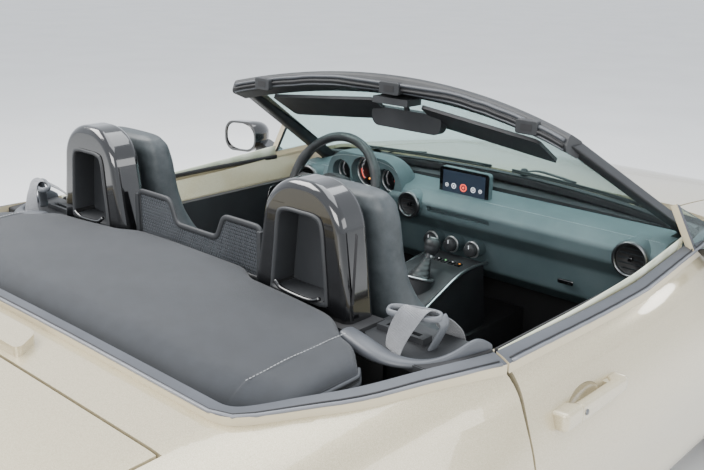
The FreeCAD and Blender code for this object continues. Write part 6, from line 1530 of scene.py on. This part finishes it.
for side, word in ((1, "left"), (-1, "right")):
    unit = finish_piece(shrunk("headlamps", 0.007, "unit", side), f"headlamp_body_{word}", "root",
                        PIANO, False)
    for k, (y, z, r) in enumerate([(0.565, 0.652, 0.026), (0.640, 0.668, 0.022)]):
        point, normal = on_node("headlamps", (3.0, side * y, z), (-1, 0, 0))
        if point:
            seat_at = point - normal * 0.0072
            bowl = turned([(r * 0.60, -0.004), (r * 0.66, 0.0022), (r, 0.0036), (r * 1.06, 0.0010),
                           (r * 1.06, -0.004), (r * 0.60, -0.004)], seat_at, normal, "bowl", 40)
            eye = turned([(0.0, -0.004), (r * 0.62, -0.004), (r * 0.60, 0.0008), (r * 0.40, 0.0036),
                          (0.0, 0.0046)], seat_at, normal, "eye", 40)
            finish_piece(bowl, f"headlamp_bowl_{k + 1}_{word}", "root", BRIGHT)
            finish_piece(eye, f"headlamp_eye_{k + 1}_{word}", "root", LAMP_PANE)
    strip = []
    for k in range(15):
        point, normal = on_node("headlamps", (3.0, side * (0.505 + 0.0165 * k), 0.612 + 0.0035 * k),
                                (-1, 0, 0))
        if point:
            strip.append(point - normal * 0.0055)
    if len(strip) > 3:
        finish_piece(sweep(strip, ring_section(0.0030, 8), "strip"), f"daylight_strip_{word}", "root",
                     GLOW_WHITE)
    for k, (y, z, r, made) in enumerate([(0.530, 0.700, 0.034, RED_LENS), (0.620, 0.704, 0.026, AMBER_LENS),
                                         (0.530, 0.700, 0.015, LAMP_PANE)]):
        point, normal = on_node("tail_lamps", (-3.0, side * y, z), (1, 0, 0))
        if point:
            rings = [turned([(r * 0.80, -0.003), (r * 0.82, 0.0006), (r * 0.93, 0.0022), (r, 0.0006),
                             (r, -0.003), (r * 0.80, -0.003)], point, normal, "ring", 48)]
            if k:
                rings.append(turned([(0.0, -0.002), (r * 0.74, -0.002), (r * 0.70, 0.0010), (0.0, 0.0018)],
                                    point, normal, "eye", 40))
            finish_piece(join(rings, "rings"), f"tail_light_{k + 1}_{word}", "root", made)

for y in (-0.215, -0.285):
    tip = turned([(0.0262, 0.030), (0.0262, 0.0), (0.0280, -0.0022), (0.0312, -0.0012), (0.0316, 0.002),
                  (0.0312, 0.060), (0.0302, 0.062), (0.0302, 0.030), (0.0262, 0.030)], (-1.9360, y, 0.272),
                 (1, 0, 0), "tip", 48)
    finish_piece(tip, f"exhaust_tip_{'inner' if y > -0.25 else 'outer'}", "root", BRIGHT)

WIPERS = [("cowl", 0.500, 0.520, 0.020), ("windscreen_frame", -0.080, -0.060, -0.520)]
for k, (carrier, root_y, start_y, end_y) in enumerate(WIPERS):
    blade, arm_ends = [], []
    for i in range(13):
        y = start_y + (end_y - start_y) * i / 12
        point, normal = on_node("windscreen_glass", (3.0, y, 0.885), (-1, 0, 0))
        if point:
            blade.append((point, normal))
    root, up = on_node(carrier, (0.600, root_y, 2.0), (0, 0, -1))
    if root and len(blade) > 5:
        rubber = [p + n * 0.0035 for p, n in blade]
        back_bone = [p + n * 0.0085 for p, n in blade]
        strips = [sweep(rubber, [(-0.0016, -0.003), (0.0016, -0.003), (0.0022, 0.003), (-0.0022, 0.003)],
                        "wipe", up=blade[6][1]), sweep(back_bone,
                                                       [(-0.0055, -0.002), (0.0055, -0.002),
                                                        (0.0030, 0.003), (-0.0030, 0.003)], "bone",
                                                       up=blade[6][1])]
        middle = back_bone[len(back_bone) // 2] + blade[6][1] * 0.006
        base = root + Vector((0, 0, 0.010))
        arm = sweep(smooth_line([base, base.lerp(middle, 0.3) + Vector((0.004, 0, 0.012)), middle], 6),
                    [(-0.0060, -0.0022), (0.0060, -0.0022), (0.0045, 0.0022), (-0.0045, 0.0022)], "arm")
        nut = turned([(0.0, -0.012), (0.012, -0.012), (0.013, 0.006), (0.009, 0.012), (0.0, 0.013)], base,
                     (0, 0, 1), "nut", 20)
        finish_piece(join(strips + [arm, nut], "wiper"), f"wiper_{k + 1}", "root", BLACK_TRIM)

for side, word in ((1, "left"), (-1, "right")):
    rail = []
    for i in range(25):
        z = 0.842 + (1.105 - 0.842) * i / 24
        point, normal = on_node("windscreen_frame", (z * -1.24 + 1.58, side * 1.5, z), (0, -side, 0))
        if point:
            rail.append(point + normal * 0.0015)
    if len(rail) > 5:
        finish_piece(sweep(rail, ring_section(0.0032, 8), "seal"), f"pillar_seal_{word}", "root",
                     SEAL)

# Header: layered seals along its rear face and the catches for the roof; then a red strip along the stop
# lamp
def header_edge(y):
    """The highest point of the header's rear face at a distance from the centre line."""
    for step in range(90):
        point, _ = on_node("windscreen_frame", (-3.0, y, 1.215 - 0.0015 * step), (1, 0, 0))
        if point:
            return point
    return None


edge_line = [header_edge(-0.560 + 0.035 * k) for k in range(33)]
edge_line = [point for point in edge_line if point]
for name, drop, radius in (("upper", 0.0135, 0.0052), ("middle", 0.0245, 0.0042),
                           ("lower", 0.0340, 0.0030)):
    row = []
    for edge in edge_line:
        point, normal = on_node("windscreen_frame", (-3.0, edge.y, edge.z - drop), (1, 0, 0))
        if point:
            row.append(point + normal * radius * 0.35)
    if len(row) > 8:
        finish_piece(sweep(smooth_line(row, 3), ring_section(radius, 10), "seal"), f"header_seal_{name}",
                     "root", SEAL if name == "middle" else HEADER_SEAL)
for name, y, half in (("left", 0.452, 0.030), ("centre", 0.0, 0.034), ("right", -0.452, 0.030)):
    edge = header_edge(y)
    if edge:
        face, _ = on_node("windscreen_frame", (-3.0, y, edge.z - 0.022), (1, 0, 0))
        plate = [(p.x, p.y) for p in rounded_outline([(y - half, edge.z - 0.040),
                                                      (y + half, edge.z - 0.040),
                                                      (y + half, edge.z - 0.006),
                                                      (y - half, edge.z - 0.006)], 0.007, 3)]
        body = outline_slab(plate, face.x - 0.012, face.x + 0.006, "catch", 0.002, "yz")
        finish_piece(body, f"roof_catch_{name}", "root", BLACK_TRIM, False)
        # A matte black plate on each catch's rear face marks its pocket: painted shade for the dark inside
        # the pocket.
        pocket_shade = outline_slab([(y - half * 0.5, edge.z - 0.031), (y + half * 0.5, edge.z - 0.031),
                             (y + half * 0.5, edge.z - 0.015), (y - half * 0.5, edge.z - 0.015)],
                            face.x - 0.0128, face.x - 0.0110, "pocket_shade", 0.0, "yz")
        finish_piece(pocket_shade, f"roof_catch_pocket_shade_{name}", "root", SEAL, False)
rear_edge = []
for k in range(17):
    y = -0.160 + 0.020 * k
    point, _ = on_node("stop_lamp", (-3.0, y, 0.8655), (1, 0, 0))
    if point:
        rear_edge.append(point)
if len(rear_edge) > 5:
    strip = sweep(rear_edge, [(-0.0016, -0.004), (0.0016, -0.004), (0.0016, 0.004), (-0.0016, 0.004)],
                  "strip")
    finish_piece(strip, "stop_light_strip", "root", RED_LENS, False)


# The floor, the light and the camera
def soft_light(name, at, target, size, power, colour=(1, 1, 1)):
    data = bpy.data.lights.new(name, "AREA")
    data.shape = "RECTANGLE"
    data.size, data.size_y = size
    data.energy = power
    data.color = colour
    lamp = bpy.data.objects.new(name, data)
    SCENE.collection.objects.link(lamp)
    lamp.location = at
    lamp.rotation_euler = (Vector(target) - Vector(at)).to_track_quat("-Z", "Y").to_euler()


def floor_finish():
    made, tree, shader = shader_of("pale_floor", (0.82, 0.815, 0.80), 0.5)
    tone = ramp(tree, noise(tree, 1.3, 3.0, 0.5), [(0.3, (0.80, 0.795, 0.78)), (0.7, (0.85, 0.845, 0.83))])
    tree.links.new(tone, shader.inputs["Base Color"])
    bump(tree, shader, noise(tree, 60.0, 4.0, 0.6), 0.08, 0.001)
    return made


FLOOR = 30
ground = bpy.data.meshes.new("floor")
ground.from_pydata([(-FLOOR, -FLOOR, 0), (FLOOR, -FLOOR, 0), (FLOOR, FLOOR, 0), (-FLOOR, FLOOR, 0)], [],
                   [(0, 1, 2, 3)])
floor_piece = bpy.data.objects.new("floor", ground)
SCENE.collection.objects.link(floor_piece)
floor_piece.data.materials.append(floor_finish())
soft_light("key_panel", (-2.2, 2.6, 4.6), (-0.3, 0.0, 0.8), (4.0, 2.4), 420, (1.0, 0.985, 0.96))
soft_light("top_panel", (0.8, -0.6, 5.2), (0.2, 0.0, 0.6), (6.0, 3.4), 300, (0.95, 0.98, 1.0))
soft_light("rear_panel", (-5.4, -2.4, 2.6), (-0.6, 0.0, 0.7), (3.4, 2.0), 260, (1.0, 0.99, 0.97))
soft_light("side_panel", (1.0, -5.6, 2.4), (0.0, 0.0, 0.6), (5.0, 1.8), 120)
sky = bpy.data.worlds.new("studio")
SCENE.world = sky
sky.use_nodes = True
sky.node_tree.nodes["Background"].inputs["Color"].default_value = (0.88, 0.93, 1.0, 1)
sky.node_tree.nodes["Background"].inputs["Strength"].default_value = 1.3

EYE = (-1.873, -1.563, 1.553)
FOCAL_PIXELS, PHOTO_WIDTH, SENSOR = 919.1, 704, 36.0
YAW, PITCH, ROLL = math.radians(41.76), math.radians(-17.5), math.radians(1.2)
ahead = Vector((math.cos(PITCH) * math.cos(YAW), math.cos(PITCH) * math.sin(YAW), math.sin(PITCH)))
level = ahead.cross(Vector((0, 0, 1))).normalized()
upright = level.cross(ahead)
right_way = level * math.cos(ROLL) + upright * math.sin(ROLL)
up_way = upright * math.cos(ROLL) - level * math.sin(ROLL)
lens_data = bpy.data.cameras.new("photo_view")
lens_data.sensor_width = SENSOR
lens_data.lens = FOCAL_PIXELS / PHOTO_WIDTH * SENSOR
camera = bpy.data.objects.new("photo_view", lens_data)
SCENE.collection.objects.link(camera)
turn = Matrix((right_way, up_way, -ahead)).transposed()
camera.matrix_world = Matrix.Translation(EYE) @ turn.to_4x4()
SCENE.camera = camera
